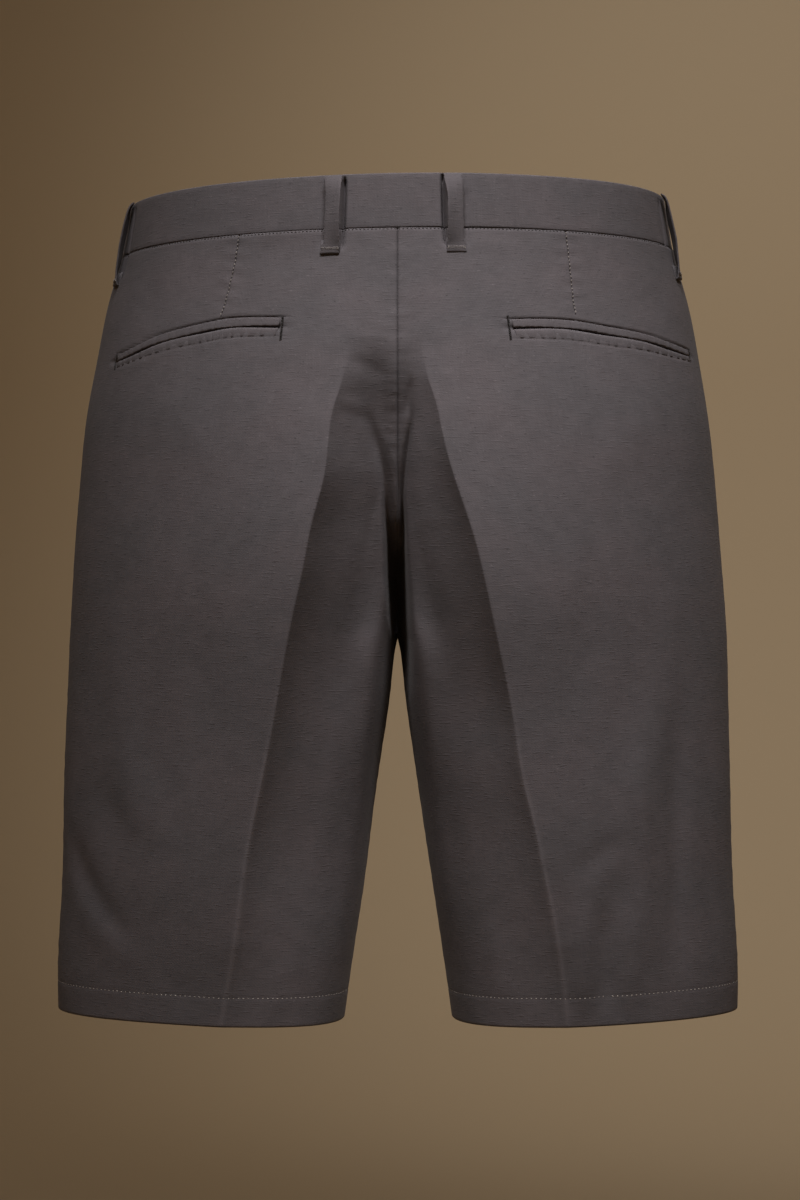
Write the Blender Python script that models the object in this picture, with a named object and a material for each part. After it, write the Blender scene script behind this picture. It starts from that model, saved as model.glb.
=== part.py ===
"""Bermuda shorts in cotton and linen, filled out as worn, with no wearer inside.

The frame: +Z up, the front faces -Y and the seat +Y, and the wearer's left is +X.
The origin is the middle of the waist opening, halfway up the waistband, where a wearer holds the
shorts up.

The whole garment lies on one form. A place on it is a drop, measured down from the waistband's
top edge, and an angle round one leg: 0 at the side, 90 degrees at the back and 180 at the inner
leg, with the front at minus 90. Each level is an oval. It spans the whole body at the waist, its
inner end passes the middle of the body at the crotch, and below that it is the leg alone.
"""

import math
from collections import namedtuple

import bmesh
import bpy
import numpy as np
from mathutils import Matrix, Vector

MM = 0.001

# Heights, down from the waistband's top edge
BAND_HEIGHT = 33 * MM
CROTCH_DROP = 276 * MM
OUTSEAM = 511 * MM
HEM_DEPTH = 18 * MM

# Cloth and joins
CLOTH = 1.2 * MM  # wall of one layer of panel cloth
HEM_CLOTH = 2.5 * MM  # the hem is turned up, so its wall is two layers
BAND_CLOTH = 2.6 * MM
SEAM_GAP = 0.4 * MM  # between pieces at a seam, and under a piece laid on another
HALF_GAP = SEAM_GAP / 2

# How the worn form hangs
FRONT_DIP = 10 * MM  # the waist's front is lower than its back
WAIST_ROLL = 2.8 * MM  # and its left side lower than its middle
WAIST_FADE = 160 * MM  # both fade out this far down
HEM_TILT = 2.7 * MM  # each hem rises to the side, because the legs spread
HEM_FADE = 161 * MM
LEG_SET_BACK = 8 * MM  # the hem's middle lies this far behind the waist's
LEG_SET_FROM = 178 * MM

# The form's sections in millimetres, all measured from the middle of the body
# drop: below the waistband's top edge      side: out to the side
# inner: the oval's inner end, which is past the middle of the body (negative) above the crotch
# back, front: depth at the crest           crest_back, crest_front: the crests' distance out
# crease: how far the pressed crease stands out of the oval
Section = namedtuple("Section", "drop side inner back front crest_back crest_front crease")
SECTIONS = (
    Section(0, 168.0, -168.0, 112.0, 112.0, 0.0, 0.0, 0.0),
    Section(33, 173.5, -173.5, 115.0, 113.5, 0.0, 0.0, 0.0),
    Section(65, 182.0, -170.0, 119.5, 115.0, 3.0, 2.0, 0.0),
    Section(100, 188.5, -157.0, 124.5, 116.0, 13.0, 8.0, 0.0),
    Section(140, 195.0, -119.0, 129.0, 114.0, 30.0, 24.0, 2.5),
    Section(178, 199.0, -75.0, 131.0, 110.5, 40.0, 42.0, 4.5),
    Section(215, 202.2, -36.0, 129.0, 106.5, 50.0, 58.0, 5.5),
    Section(253, 204.6, -10.0, 123.0, 102.5, 60.0, 73.0, 6.0),
    Section(276, 205.7, 0.15, 117.5, 100.0, 65.0, 79.5, 6.0),
    Section(306, 206.6, 4.6, 110.0, 97.5, 70.0, 86.0, 6.0),
    Section(341, 207.6, 9.5, 102.0, 94.5, 74.5, 92.0, 5.5),
    Section(391, 208.8, 16.8, 91.5, 90.0, 85.5, 100.0, 5.0),
    Section(441, 210.4, 24.0, 81.5, 85.0, 94.0, 107.0, 4.5),
    Section(492, 212.6, 31.4, 72.5, 79.5, 102.5, 113.0, 4.0),
    Section(511, 212.3, 34.0, 70.0, 78.0, 105.0, 115.0, 4.0),
)
CREASE_SHARPNESS = 4  # power of the crease's flanks: higher is narrower

# Levels of the panels' rows: wide steps on the plain stretches, close ones round the crotch
SEAT_STEPS = 9
SEAT_DROP = 215 * MM
CROTCH_STEPS = 7
CROTCH_EASE = 1.5  # power that draws the rows together towards the crotch
LEG_STEPS = 8
# Columns of the panels: the crease is one of them, and above it they lean in to the centre seam
INNER_COLUMNS = 6
OUTER_COLUMNS = 7
GUIDE_LEAN = math.radians(20)
GUIDE_FROM = 140 * MM

# Belt loops: side of the body, distance out from its middle, whether it is on the back half, and
# the drop of its lower end
LOOP_WIDTH = 10.2 * MM
LOOP_CLOTH = 1.6 * MM
LOOP_STAND = 8.5 * MM  # how far the arch stands off the waistband at its middle
LOOP_TOP = 0.4 * MM  # drop of the loop's top end
LOOP_FREE_FROM = 4.0 * MM  # the arch is free from here
LOOP_SEWN_END = 6.0 * MM  # and its lower end lies on the panel over this length
LOOP_ARCH_STEPS = 8
LOOP_COLUMNS = 3
LOOP_FLATNESS = 0.5  # power of the arch: lower is flatter along its middle
Loop = namedtuple("Loop", "place side out behind end")
LOOPS = (
    Loop("back_left", 1, 39.3 * MM, True, 48 * MM),
    Loop("back_right", -1, 34.5 * MM, True, 48 * MM),
    Loop("side_left", 1, 167.3 * MM, True, 54 * MM),
    Loop("side_right", -1, 167.3 * MM, True, 54 * MM),
    Loop("front_left", 1, 60.0 * MM, False, 48 * MM),
    Loop("front_right", -1, 60.0 * MM, False, 48 * MM),
)

# Back pockets with two welts, whose mouth curves down towards the side seam
MOUTH_DROP = 91 * MM
MOUTH_FALL = 14.5 * MM
MOUTH_BEND = 1.4  # power of the fall along the mouth
WELT_WIDTH = 5.4 * MM
WELT_CLOTH = 1.0 * MM
WELT_STEPS = 14
Pocket = namedtuple("Pocket", "place side inner_end outer_angle")
POCKETS = (
    Pocket("left", 1, 69.5 * MM, math.radians(20.0)),
    Pocket("right", -1, 67.5 * MM, math.radians(14.0)),
)

# Front closing: the left end of the waistband laps over the right end
LAP_OVER = 20 * MM  # the upper end's reach past the middle
LAP_UNDER = 16 * MM  # the lower end's reach past the middle
LAP_RAMP = 22 * MM  # the lower end comes up flush over this length
BAND_STEPS = 60
SHIELD_RIGHT = 22 * MM  # the fly shield's reach to the wearer's right
SHIELD_LEFT = 16 * MM
SHIELD_DROP = 172 * MM
SHIELD_STEPS = 8
SHIELD_GAP = 0.5 * MM  # behind the fronts, whose flat faces dip in between their points

BUTTON_RADIUS = 7.5 * MM
BUTTON_THICKNESS = 3.0 * MM
BUTTON_OUT = 7 * MM  # to the wearer's right of the middle
BUTTON_DROP = 17 * MM
BUTTON_EDGE = 0.8 * MM
BUTTON_WELL_RADIUS = 4.6 * MM
BUTTON_WELL_DEPTH = 0.9 * MM
EYE_RADIUS = 0.9 * MM
EYE_OUT = 1.9 * MM
EYES = 4
BUTTON_FACETS = 32  # round the rim, then the well and each eye
WELL_FACETS = 24
EYE_FACETS = 10
RIM_STEPS = 2

CLOTH_COLOUR = (0.083, 0.072, 0.070)
TRIM_COLOUR = (0.076, 0.066, 0.064)
BUTTON_COLOUR = (0.045, 0.035, 0.030)

BACK = math.pi / 2
INNER_LEG = math.pi
FRONT_FROM_RIGHT = 3 * math.pi / 2  # the front's middle, counted on round the right side
FINE_STEPS = 240  # samples used to measure along a curve
NUDGE = 1e-4  # step used to measure a slope on the form
SHARP_ANGLE = math.radians(40)  # edges folded more than this are shaded as edges


def column(name):
    """One column of the section table, in metres."""
    return np.array([getattr(row, name) for row in SECTIONS]) * MM


def spline_bends(knots, values):
    """Second derivatives, at the knots, of the natural cubic spline through the values."""
    step = np.diff(knots)
    slope = np.diff(values) / step
    count = len(knots)
    matrix = np.eye(count)
    right = np.zeros(count)
    for i in range(1, count - 1):
        matrix[i, i - 1 : i + 2] = step[i - 1], 2 * (step[i - 1] + step[i]), step[i]
        right[i] = 6 * (slope[i] - slope[i - 1])
    return np.linalg.solve(matrix, right)


KNOTS = column("drop")
CURVES = {name: (column(name), spline_bends(KNOTS, column(name))) for name in Section._fields}


def section_value(name, drop):
    """A size of the form at any drop, on a smooth curve through the table."""
    values, bends = CURVES[name]
    drop = np.asarray(drop, dtype=float)
    i = np.clip(np.searchsorted(KNOTS, drop) - 1, 0, len(KNOTS) - 2)
    step = KNOTS[i + 1] - KNOTS[i]
    past, left = (drop - KNOTS[i]) / step, (KNOTS[i + 1] - drop) / step
    line = values[i] * left + values[i + 1] * past
    return line + ((left**3 - left) * bends[i] + (past**3 - past) * bends[i + 1]) * step**2 / 6


def smooth(t):
    """0 below 0, 1 above 1, and an S curve between."""
    t = np.clip(t, 0.0, 1.0)
    return t * t * (3 - 2 * t)


def form(drop, angle, side=1):
    """Points of the outer face, one for each drop and angle. side is 1 for the left leg, -1 right."""
    drop, angle = np.broadcast_arrays(np.asarray(drop, dtype=float), angle)
    outer = section_value("side", drop)
    inner = section_value("inner", drop)
    crease = section_value("crease", drop)
    across, along = np.cos(angle), np.sin(angle)
    behind = along >= 0
    depth = np.where(behind, section_value("back", drop), section_value("front", drop))
    crest = np.where(behind, section_value("crest_back", drop), section_value("crest_front", drop))
    middle = (outer + inner) / 2
    x = middle + (outer - inner) / 2 * across - (middle - crest) * along**2
    ridge = crease * (1 - np.abs(across)) ** CREASE_SHARPNESS
    set_back = LEG_SET_BACK * smooth((drop - LEG_SET_FROM) / (OUTSEAM - LEG_SET_FROM))
    y = (depth - crease) * along + np.sign(along) * ridge + set_back
    waist = smooth(1 - drop / WAIST_FADE)
    hem = smooth((drop - OUTSEAM) / HEM_FADE + 1)
    z = BAND_HEIGHT / 2 - drop
    z = z - waist * (FRONT_DIP * (1 - along) / 2 + WAIST_ROLL * side * across)
    z = z + hem * HEM_TILT * across
    return np.stack((side * x, y, z), axis=-1)


def outward(drop, angle, side=1):
    """Unit normals of the form, pointing out of the garment."""
    round_leg = form(drop, angle + NUDGE, side) - form(drop, angle - NUDGE, side)
    upwards = form(drop - NUDGE, angle, side) - form(drop + NUDGE, angle, side)
    normal = side * np.cross(round_leg, upwards)
    return normal / np.linalg.norm(normal, axis=-1, keepdims=True)


def moved(drop, angle, side, distance):
    """Points of the form moved out by a distance, or in where it is negative."""
    return form(drop, angle, side) + outward(drop, angle, side) * distance


def ring(drop, angle, distance):
    """Moved points right round the waist, where angles past the middle are on the right half."""
    right = np.cos(angle) < 0
    folded = np.where(right, math.pi - angle, angle)
    halves = [moved(drop, folded, side, distance[:, None]) for side in (1, -1)]
    return np.where(right[:, None], halves[1], halves[0])


def angle_at(drop, out, behind):
    """The angle at which the form lies a given distance out from the middle of the body."""
    angles = np.linspace(0.0, INNER_LEG, FINE_STEPS) * (1 if behind else -1)
    distances = form(drop, angles)[:, 0]
    return float(np.interp(-out, -distances, angles))


def centre_angle(drop, behind):
    """Where a panel ends inwards: at the centre seam, or below the crotch at the inseam."""
    if drop < CROTCH_DROP:
        return angle_at(drop, HALF_GAP, behind)
    depth = float(section_value("back" if behind else "front", drop))
    return (INNER_LEG - HALF_GAP / depth) * (1 if behind else -1)


def side_angle(drop, behind):
    """Where a panel ends outwards: half a seam gap from the side."""
    depth = float(section_value("back" if behind else "front", drop))
    return HALF_GAP / depth * (1 if behind else -1)


def guide_angle(drop, behind):
    """Angle of the column that follows the crease, and above it leans in to the centre seam."""
    lean = GUIDE_LEAN * max(0.0, 1 - drop / GUIDE_FROM)
    return (BACK - lean) * (1 if behind else -1)


def spread(drop, first, last, count):
    """Angles from first to last that divide the form's edge at this drop into equal lengths."""
    angles = np.linspace(first, last, FINE_STEPS)
    points = form(drop, angles)
    run = np.concatenate(([0.0], np.cumsum(np.linalg.norm(np.diff(points, axis=0), axis=1))))
    return np.interp(np.linspace(0.0, run[-1], count + 1), run, angles)


def panel_levels():
    """Drops of a panel's rows, with the wall's thickness at each."""
    top = BAND_HEIGHT + HALF_GAP
    hem_top = OUTSEAM - HEM_DEPTH
    seat = np.linspace(top, SEAT_DROP, SEAT_STEPS + 1)[:-1]
    ease = np.linspace(1.0, 0.0, CROTCH_STEPS + 1)
    crotch = CROTCH_DROP - (CROTCH_DROP - SEAT_DROP) * ease**CROTCH_EASE
    leg = np.linspace(CROTCH_DROP, hem_top, LEG_STEPS + 1)[1:]
    one_layer = [(drop, CLOTH) for drop in (*seat, *crotch, *leg)]
    return [*one_layer, (hem_top + SEAM_GAP, HEM_CLOTH), (OUTSEAM, HEM_CLOTH)]


def make_material(name, colour, roughness):
    material = bpy.data.materials.new(name)
    material.use_nodes = True
    shader = material.node_tree.nodes["Principled BSDF"]
    shader.inputs["Base Color"].default_value = (*colour, 1.0)
    shader.inputs["Roughness"].default_value = roughness
    shader.inputs["Metallic"].default_value = 0.0
    return material


def add_object(name, mesh, collection, material):
    made = bpy.data.objects.new(name, mesh)
    mesh.materials.append(material)
    collection.objects.link(made)
    return made


def make_wall(name, outer, inner, collection, material):
    """A closed wall between two grids of points, each rows by columns."""
    outer, inner = np.array(outer), np.array(inner)
    rows, columns = outer.shape[:2]
    bm = bmesh.new()
    faces = []
    for grid in (outer, inner):
        faces.append([[bm.verts.new(point) for point in row] for row in grid])
    for face in faces:
        for i in range(rows - 1):
            for j in range(columns - 1):
                bm.faces.new((face[i][j], face[i][j + 1], face[i + 1][j + 1], face[i + 1][j]))
    rim = [(0, j) for j in range(columns)]
    rim += [(i, columns - 1) for i in range(1, rows)]
    rim += [(rows - 1, j) for j in range(columns - 2, -1, -1)]
    rim += [(i, 0) for i in range(rows - 2, 0, -1)]
    for (i, j), (k, m) in zip(rim, rim[1:] + rim[:1]):
        bm.faces.new((faces[0][i][j], faces[0][k][m], faces[1][k][m], faces[1][i][j]))
    bmesh.ops.recalc_face_normals(bm, faces=bm.faces)
    mesh = bpy.data.meshes.new(name)
    bm.to_mesh(mesh)
    bm.free()
    mesh.shade_smooth()
    mesh.set_sharp_from_angle(angle=SHARP_ANGLE)
    return add_object(name, mesh, collection, material)


def make_panel(name, side, behind, collection, material):
    """A front or back: the seat and leg in one piece, from the waistband seam to the hem."""
    outer, inner = [], []
    for drop, wall in panel_levels():
        guide = guide_angle(drop, behind)
        inwards = spread(drop, centre_angle(drop, behind), guide, INNER_COLUMNS)
        outwards = spread(drop, guide, side_angle(drop, behind), OUTER_COLUMNS)
        angles = np.concatenate((inwards[:-1], outwards))
        outer.append(form(drop, angles, side))
        inner.append(moved(drop, angles, side, -wall))
    return make_wall(name, outer, inner, collection, material)


def angle_of_lap_end():
    """Angle, on the wearer's right of the front, where the band's upper end stops."""
    width = float(section_value("side", BAND_HEIGHT / 2))
    return FRONT_FROM_RIGHT - (LAP_OVER + SEAM_GAP) / width


def lap_inset(angle):
    """How far the waistband lies inside the form: its lower end runs under the upper end."""
    width = float(section_value("side", BAND_HEIGHT / 2))
    past_lap = (angle_of_lap_end() - angle) * width
    return (BAND_CLOTH + SEAM_GAP) * smooth(1 - past_lap / LAP_RAMP)


def make_waistband(collection, material):
    """One strip round the waist, whose left end laps over its right end at the front."""
    width = float(section_value("side", BAND_HEIGHT / 2))
    first = -BACK - LAP_OVER / width
    last = FRONT_FROM_RIGHT + LAP_UNDER / width
    angles = np.linspace(first, last, BAND_STEPS + 1)
    inset = lap_inset(angles)
    outer, inner = [], []
    for drop in (0.0, BAND_HEIGHT / 2, BAND_HEIGHT - SEAM_GAP):
        outer.append(ring(drop, angles, -inset))
        inner.append(ring(drop, angles, -inset - BAND_CLOTH))
    return make_wall("waistband", outer, inner, collection, material)


def loop_path(end):
    """Drops along a belt loop, down to its end, and how far it stands off at each."""
    ease = np.linspace(0.0, 1.0, LOOP_ARCH_STEPS + 1)
    drops = LOOP_FREE_FROM + (end - LOOP_SEWN_END - LOOP_FREE_FROM) * ease
    arch = np.clip(np.sin(math.pi * ease), 0.0, 1.0) ** LOOP_FLATNESS
    stands = SEAM_GAP + LOOP_STAND * arch
    return [(LOOP_TOP, SEAM_GAP), *zip(drops, stands), (end, SEAM_GAP)]


def make_belt_loop(loop, collection, material):
    """A folded strip sewn to the waistband's top edge and to the panel under the band."""
    middle = angle_at(BAND_HEIGHT / 2, loop.out, loop.behind)
    speed = np.linalg.norm(form(BAND_HEIGHT / 2, middle + NUDGE) - form(BAND_HEIGHT / 2, middle))
    half = LOOP_WIDTH / 2 * NUDGE / speed
    angles = np.linspace(middle - half, middle + half, LOOP_COLUMNS)
    under, over = [], []
    for drop, stand in loop_path(loop.end):
        under.append(moved(drop, angles, loop.side, stand))
        over.append(moved(drop, angles, loop.side, stand + LOOP_CLOTH))
    return make_wall(f"belt_loop_{loop.place}", over, under, collection, material)


def make_welt(pocket, edge, from_mouth, collection, material):
    """One welt of a back pocket. from_mouth gives its two edges' distance below the mouth."""
    first = angle_at(MOUTH_DROP, pocket.inner_end, True)
    angles = spread(MOUTH_DROP, first, pocket.outer_angle, WELT_STEPS)
    fall = MOUTH_DROP + MOUTH_FALL * np.linspace(0.0, 1.0, WELT_STEPS + 1) ** MOUTH_BEND
    under = [moved(fall + below, angles, pocket.side, SEAM_GAP) for below in from_mouth]
    over = [moved(fall + below, angles, pocket.side, SEAM_GAP + WELT_CLOTH) for below in from_mouth]
    name = f"pocket_welt_{edge}_{pocket.place}"
    return make_wall(name, over, under, collection, material)


def make_fly_shield(collection, material):
    """The strip behind the front opening, which closes it under the zip."""
    outs = (-SHIELD_RIGHT, -SHIELD_RIGHT / 2, 0.0, SHIELD_LEFT / 2, SHIELD_LEFT)
    outer, inner = [], []
    top = BAND_HEIGHT + SEAM_GAP + HALF_GAP
    for drop in np.linspace(top, SHIELD_DROP, SHIELD_STEPS + 1):
        rows = [], []
        for out in outs:
            side = -1 if out < 0 else 1
            angle = angle_at(drop, max(abs(out), HALF_GAP), False)
            for row, inset in zip(rows, (CLOTH + SHIELD_GAP, 2 * CLOTH + SHIELD_GAP)):
                point = moved(drop, angle, side, -inset)
                point[0] = out
                row.append(point)
        outer.append(rows[0])
        inner.append(rows[1])
    return make_wall("fly_shield", outer, inner, collection, material)


def add_disc(bm, radius, depth, centre, segments):
    """A plain round plate about the local Z axis."""
    place = Matrix.Translation(centre)
    bmesh.ops.create_cone(
        bm, cap_ends=True, segments=segments, radius1=radius, radius2=radius, depth=depth, matrix=place
    )


def make_button(collection, cutters, material):
    """A four-eyed button on the waistband's upper end, its face a shallow well."""
    body = bmesh.new()
    add_disc(body, BUTTON_RADIUS, BUTTON_THICKNESS, Vector(), BUTTON_FACETS)
    rims = [edge for edge in body.edges if abs(edge.verts[0].co.z - edge.verts[1].co.z) < NUDGE]
    bmesh.ops.bevel(body, geom=rims, offset=BUTTON_EDGE, segments=RIM_STEPS, affect="EDGES", profile=0.5)
    mesh = bpy.data.meshes.new("waist_button")
    body.to_mesh(mesh)
    body.free()
    button = add_object("waist_button", mesh, collection, material)

    cut = bmesh.new()
    well_centre = Vector((0, 0, BUTTON_THICKNESS / 2))
    add_disc(cut, BUTTON_WELL_RADIUS, 2 * BUTTON_WELL_DEPTH, well_centre, WELL_FACETS)
    well = bpy.data.meshes.new("button_well")
    cut.to_mesh(well)
    cut.free()
    holes = bmesh.new()
    for i in range(EYES):
        turn = math.pi * (2 * i + 1) / EYES
        centre = Vector((EYE_OUT * math.cos(turn), EYE_OUT * math.sin(turn), 0))
        add_disc(holes, EYE_RADIUS, 2 * BUTTON_THICKNESS, centre, EYE_FACETS)
    eyes = bpy.data.meshes.new("button_eyes")
    holes.to_mesh(eyes)
    holes.free()

    middle = -BACK - BUTTON_OUT / float(section_value("side", BUTTON_DROP))
    out = Vector(outward(BUTTON_DROP, middle))
    seat = Vector(form(BUTTON_DROP, middle)) + out * (SEAM_GAP + BUTTON_THICKNESS / 2)
    turned = Matrix.Translation(seat) @ out.to_track_quat("Z", "Y").to_matrix().to_4x4()
    button.matrix_world = turned
    for mesh_cut in (well, eyes):
        cutter = add_object(mesh_cut.name, mesh_cut, cutters, material)
        cutter.matrix_world = turned
        cutter.hide_render = True
        cutter.display_type = "WIRE"
        cutting = button.modifiers.new(mesh_cut.name, "BOOLEAN")
        cutting.operation = "DIFFERENCE"
        cutting.solver = "EXACT"
        cutting.object = cutter
    return button


def main():
    for old in list(bpy.data.objects):
        bpy.data.objects.remove(old, do_unlink=True)
    shorts = bpy.data.collections.new("bermuda_shorts")
    cutters = bpy.data.collections.new("cutters")
    for collection in (shorts, cutters):
        bpy.context.scene.collection.children.link(collection)
    cloth = make_material("cotton_linen", CLOTH_COLOUR, 0.9)
    trim = make_material("cotton_linen_trim", TRIM_COLOUR, 0.9)
    horn = make_material("button_horn", BUTTON_COLOUR, 0.4)

    for place, side in (("left", 1), ("right", -1)):
        make_panel(f"back_{place}", side, True, shorts, cloth)
        make_panel(f"front_{place}", side, False, shorts, cloth)
    make_waistband(shorts, cloth)
    for loop in LOOPS:
        make_belt_loop(loop, shorts, trim)
    for pocket in POCKETS:
        make_welt(pocket, "upper", (-WELT_WIDTH, -HALF_GAP), shorts, trim)
        make_welt(pocket, "lower", (HALF_GAP, WELT_WIDTH), shorts, trim)
    make_fly_shield(shorts, trim)
    make_button(shorts, cutters, horn)


main()
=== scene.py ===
import math
from collections import namedtuple
from functools import lru_cache

import bmesh
import bpy
import numpy as np
from bpy.props import FloatProperty, FloatVectorProperty, PointerProperty
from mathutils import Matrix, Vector


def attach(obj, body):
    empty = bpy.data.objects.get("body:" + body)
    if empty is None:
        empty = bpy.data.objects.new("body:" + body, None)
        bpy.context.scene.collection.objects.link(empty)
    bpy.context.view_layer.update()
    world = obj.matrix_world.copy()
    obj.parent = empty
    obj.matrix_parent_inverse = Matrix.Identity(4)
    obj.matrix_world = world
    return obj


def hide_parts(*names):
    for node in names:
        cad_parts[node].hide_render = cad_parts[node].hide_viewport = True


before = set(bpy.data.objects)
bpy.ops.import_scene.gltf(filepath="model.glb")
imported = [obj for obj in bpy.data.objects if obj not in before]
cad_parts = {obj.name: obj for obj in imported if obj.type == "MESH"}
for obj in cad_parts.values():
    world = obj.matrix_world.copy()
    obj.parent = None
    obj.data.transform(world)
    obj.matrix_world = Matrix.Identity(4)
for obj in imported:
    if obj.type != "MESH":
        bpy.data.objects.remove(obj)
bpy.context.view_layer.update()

bl_info = {
    "name": "Bermuda Shorts",
    "version": (1, 0, 0),
    "blender": (4, 5, 0),
    "location": "View3D > Sidebar > Shorts",
    "description": "Dresses the plain solids of a pair of bermuda shorts in slubby cotton and linen cloth",
    "category": "Add Mesh",
}

MM = 0.001

# ---------------------------------------------------------------------------------------------
# The form under the cloth. A place on it is a drop, down from the waistband's top edge, and a
# turn round one leg: 0 at the side, 90 degrees at the back, 180 at the inner leg, and minus 90 at
# the front. side is 1 for the wearer's left, +X, and -1 for the right. The back is +Y.
# ---------------------------------------------------------------------------------------------
BAND_HEIGHT = 33 * MM
CROTCH_DROP = 276 * MM
OUTSEAM = 511 * MM
FRONT_DIP = 10 * MM  # the waist's front is lower than its back
WAIST_ROLL = 2.8 * MM  # and its left side is lower than its middle, its right side higher
WAIST_FADE = 160 * MM  # both die out down to here
HEM_TILT = 2.7 * MM  # each hem rises to the side
HEM_FADE = 161 * MM  # from this far above it
LEG_SET_BACK = 8 * MM  # the hems hang further back than the waist
LEG_SET_FROM = 178 * MM

# Millimetres. side and inner: the oval's two ends, from the body's middle. back and front: depth
# at the crests, whose own distance out is crest_back and crest_front. crease: how far the pressed
# crease stands out of the oval
Section = namedtuple("Section", "drop side inner back front crest_back crest_front crease")
SECTIONS = (
    Section(0, 168.0, -168.0, 112.0, 112.0, 0.0, 0.0, 0.0),
    Section(33, 173.5, -173.5, 115.0, 113.5, 0.0, 0.0, 0.0),
    Section(65, 182.0, -170.0, 119.5, 115.0, 3.0, 2.0, 0.0),
    Section(100, 188.5, -157.0, 124.5, 116.0, 13.0, 8.0, 0.0),
    Section(140, 195.0, -119.0, 129.0, 114.0, 30.0, 24.0, 2.5),
    Section(178, 199.0, -75.0, 131.0, 110.5, 40.0, 42.0, 4.5),
    Section(215, 202.2, -36.0, 129.0, 106.5, 50.0, 58.0, 5.5),
    Section(253, 204.6, -10.0, 123.0, 102.5, 60.0, 73.0, 6.0),
    Section(276, 205.7, 0.15, 117.5, 100.0, 65.0, 79.5, 6.0),
    Section(306, 206.6, 4.6, 110.0, 97.5, 70.0, 86.0, 6.0),
    Section(341, 207.6, 9.5, 102.0, 94.5, 74.5, 92.0, 5.5),
    Section(391, 208.8, 16.8, 91.5, 90.0, 85.5, 100.0, 5.0),
    Section(441, 210.4, 24.0, 81.5, 85.0, 94.0, 107.0, 4.5),
    Section(492, 212.6, 31.4, 72.5, 79.5, 102.5, 113.0, 4.0),
    Section(511, 212.3, 34.0, 70.0, 78.0, 105.0, 115.0, 4.0),
)

BACK = math.pi / 2
INNER_LEG = math.pi
FRONT_FROM_RIGHT = 3 * math.pi / 2
NUDGE = 1e-4  # of a turn in radians or a drop in metres, for slopes
FINE_STEPS = 240

Panel = namedtuple("Panel", "name side behind")
PANELS = (
    Panel("back_left", 1, True),
    Panel("back_right", -1, True),
    Panel("front_left", 1, False),
    Panel("front_right", -1, False),
)
HEM_ORDER = [PANELS[i] for i in (0, 2, 1, 3)]  # round the left hem, then round the right one

# Lines on the panels, as (drop in millimetres, turn in degrees)
CREASES = {
    "back_left": (
        (33, 74), (75, 78), (119, 86.5), (139, 87.2), (159, 88), (180, 88.9), (207, 88.8), (232, 89.6),
        (255, 89.9), (275, 89.9), (308, 89.6), (339, 88.6), (370, 88.6), (402, 88.9), (424, 89), (454, 89.5),
        (478, 89.6), (511, 88.8),
    ),
    "back_right": (
        (33, 74), (75, 81), (110, 90.4), (135, 92.1), (157, 93), (180, 92.9), (200, 92.4), (219, 92.2),
        (240, 92.5), (268, 92.9), (293, 92.6), (311, 92), (327, 91.5), (362, 91.8), (387, 91.6), (417, 91.2),
        (441, 90.5), (464, 90.5), (480, 90.7), (511, 91.2),
    ),
    "front_left": ((33, -72), (75, -80), (140, -89), (276, -90), (400, -90.5), (511, -90)),
    "front_right": ((33, -72), (75, -80), (140, -89.5), (276, -90.5), (400, -90), (511, -90.5)),
}
# Where the dart is, and below it a plain column of the mesh
DARTS = {
    "back_left": ((33, 56.9), (51, 56.9), (71, 56.7), (84, 56.5), (200, 55), (511, 50)),
    "back_right": ((33, 54.5), (49, 54.8), (70, 55.6), (85, 56.3), (200, 55), (511, 50)),
    "front_left": ((33, -55), (511, -50)),
    "front_right": ((33, -55), (511, -50)),
}
DART_END = 83 * MM

# Height of the pressed crease, as a share of the form's, down each panel's line
CREASE_STRENGTH = {
    "back_left": ((33, 0.0), (112, 0.0), (135, 0.8), (170, 1.05), (200, 1.1), (460, 1.0), (495, 0.45),
                  (511, 0.35)),
    "back_right": ((33, 0.0), (102, 0.0), (120, 1.3), (180, 1.15), (460, 1.0), (495, 0.45), (511, 0.35)),
    "front_left": ((33, 0.0), (100, 0.3), (180, 1.0), (460, 1.0), (495, 0.5), (511, 0.4)),
    "front_right": ((33, 0.0), (100, 0.3), (180, 0.9), (460, 1.0), (495, 0.5), (511, 0.4)),
}
CREASE_ROUND = 0.5 * MM  # of its edge
CREASE_SHUT = 10 * MM  # it gives way this near the centre seam
CREASE_REACH_IN = 13 * MM  # towards the inner leg
CREASE_REACH_OUT = 30 * MM  # towards the side
# The paler line along the pressed crease, partly wear from pressing and partly a painted highlight where the
# ridge catches the light: its strength down the leg, and half the width of that line
CREASE_WEAR_AND_HIGHLIGHT_WIDTH = 1.5 * MM
CREASE_WEAR_AND_HIGHLIGHT = ((33, 0.0), (290, 0.0), (360, 1.1), (470, 1.35), (511, 0.8))

# Under the seat the cloth sinks in on the inner side of each crease: drop and depth, millimetres
HOLLOW = {
    True: ((98, 0.0), (106, 1.7), (114, 4.0), (122, 6.5), (140, 11.2), (160, 14.8), (178, 17.0), (215, 18.0),
           (250, 16.8), (285, 14.4), (340, 11.0), (400, 7.6), (440, 4.9), (480, 1.9), (511, 0.4)),
    False: ((90, 0.0), (140, 1.5), (215, 3.0), (276, 3.5), (400, 2.0), (511, 1.0)),
}
# How much of that depth reaches the seat's centre seam
HOLLOW_AT_SEAM = ((98, 0.1), (112, 0.35), (140, 0.75), (180, 0.9))
HOLLOW_STEEP = 1.5
HOLLOW_REACH = 34 * MM
HOLLOW_SHUT = 9 * MM  # it gives way this near the centre seam
HOLLOW_RISE = 42 * MM  # and rises out again towards the inseam
HOLLOW_SHARE = {1: 1.20, -1: 0.62}  # the left leg's lies deeper
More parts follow.
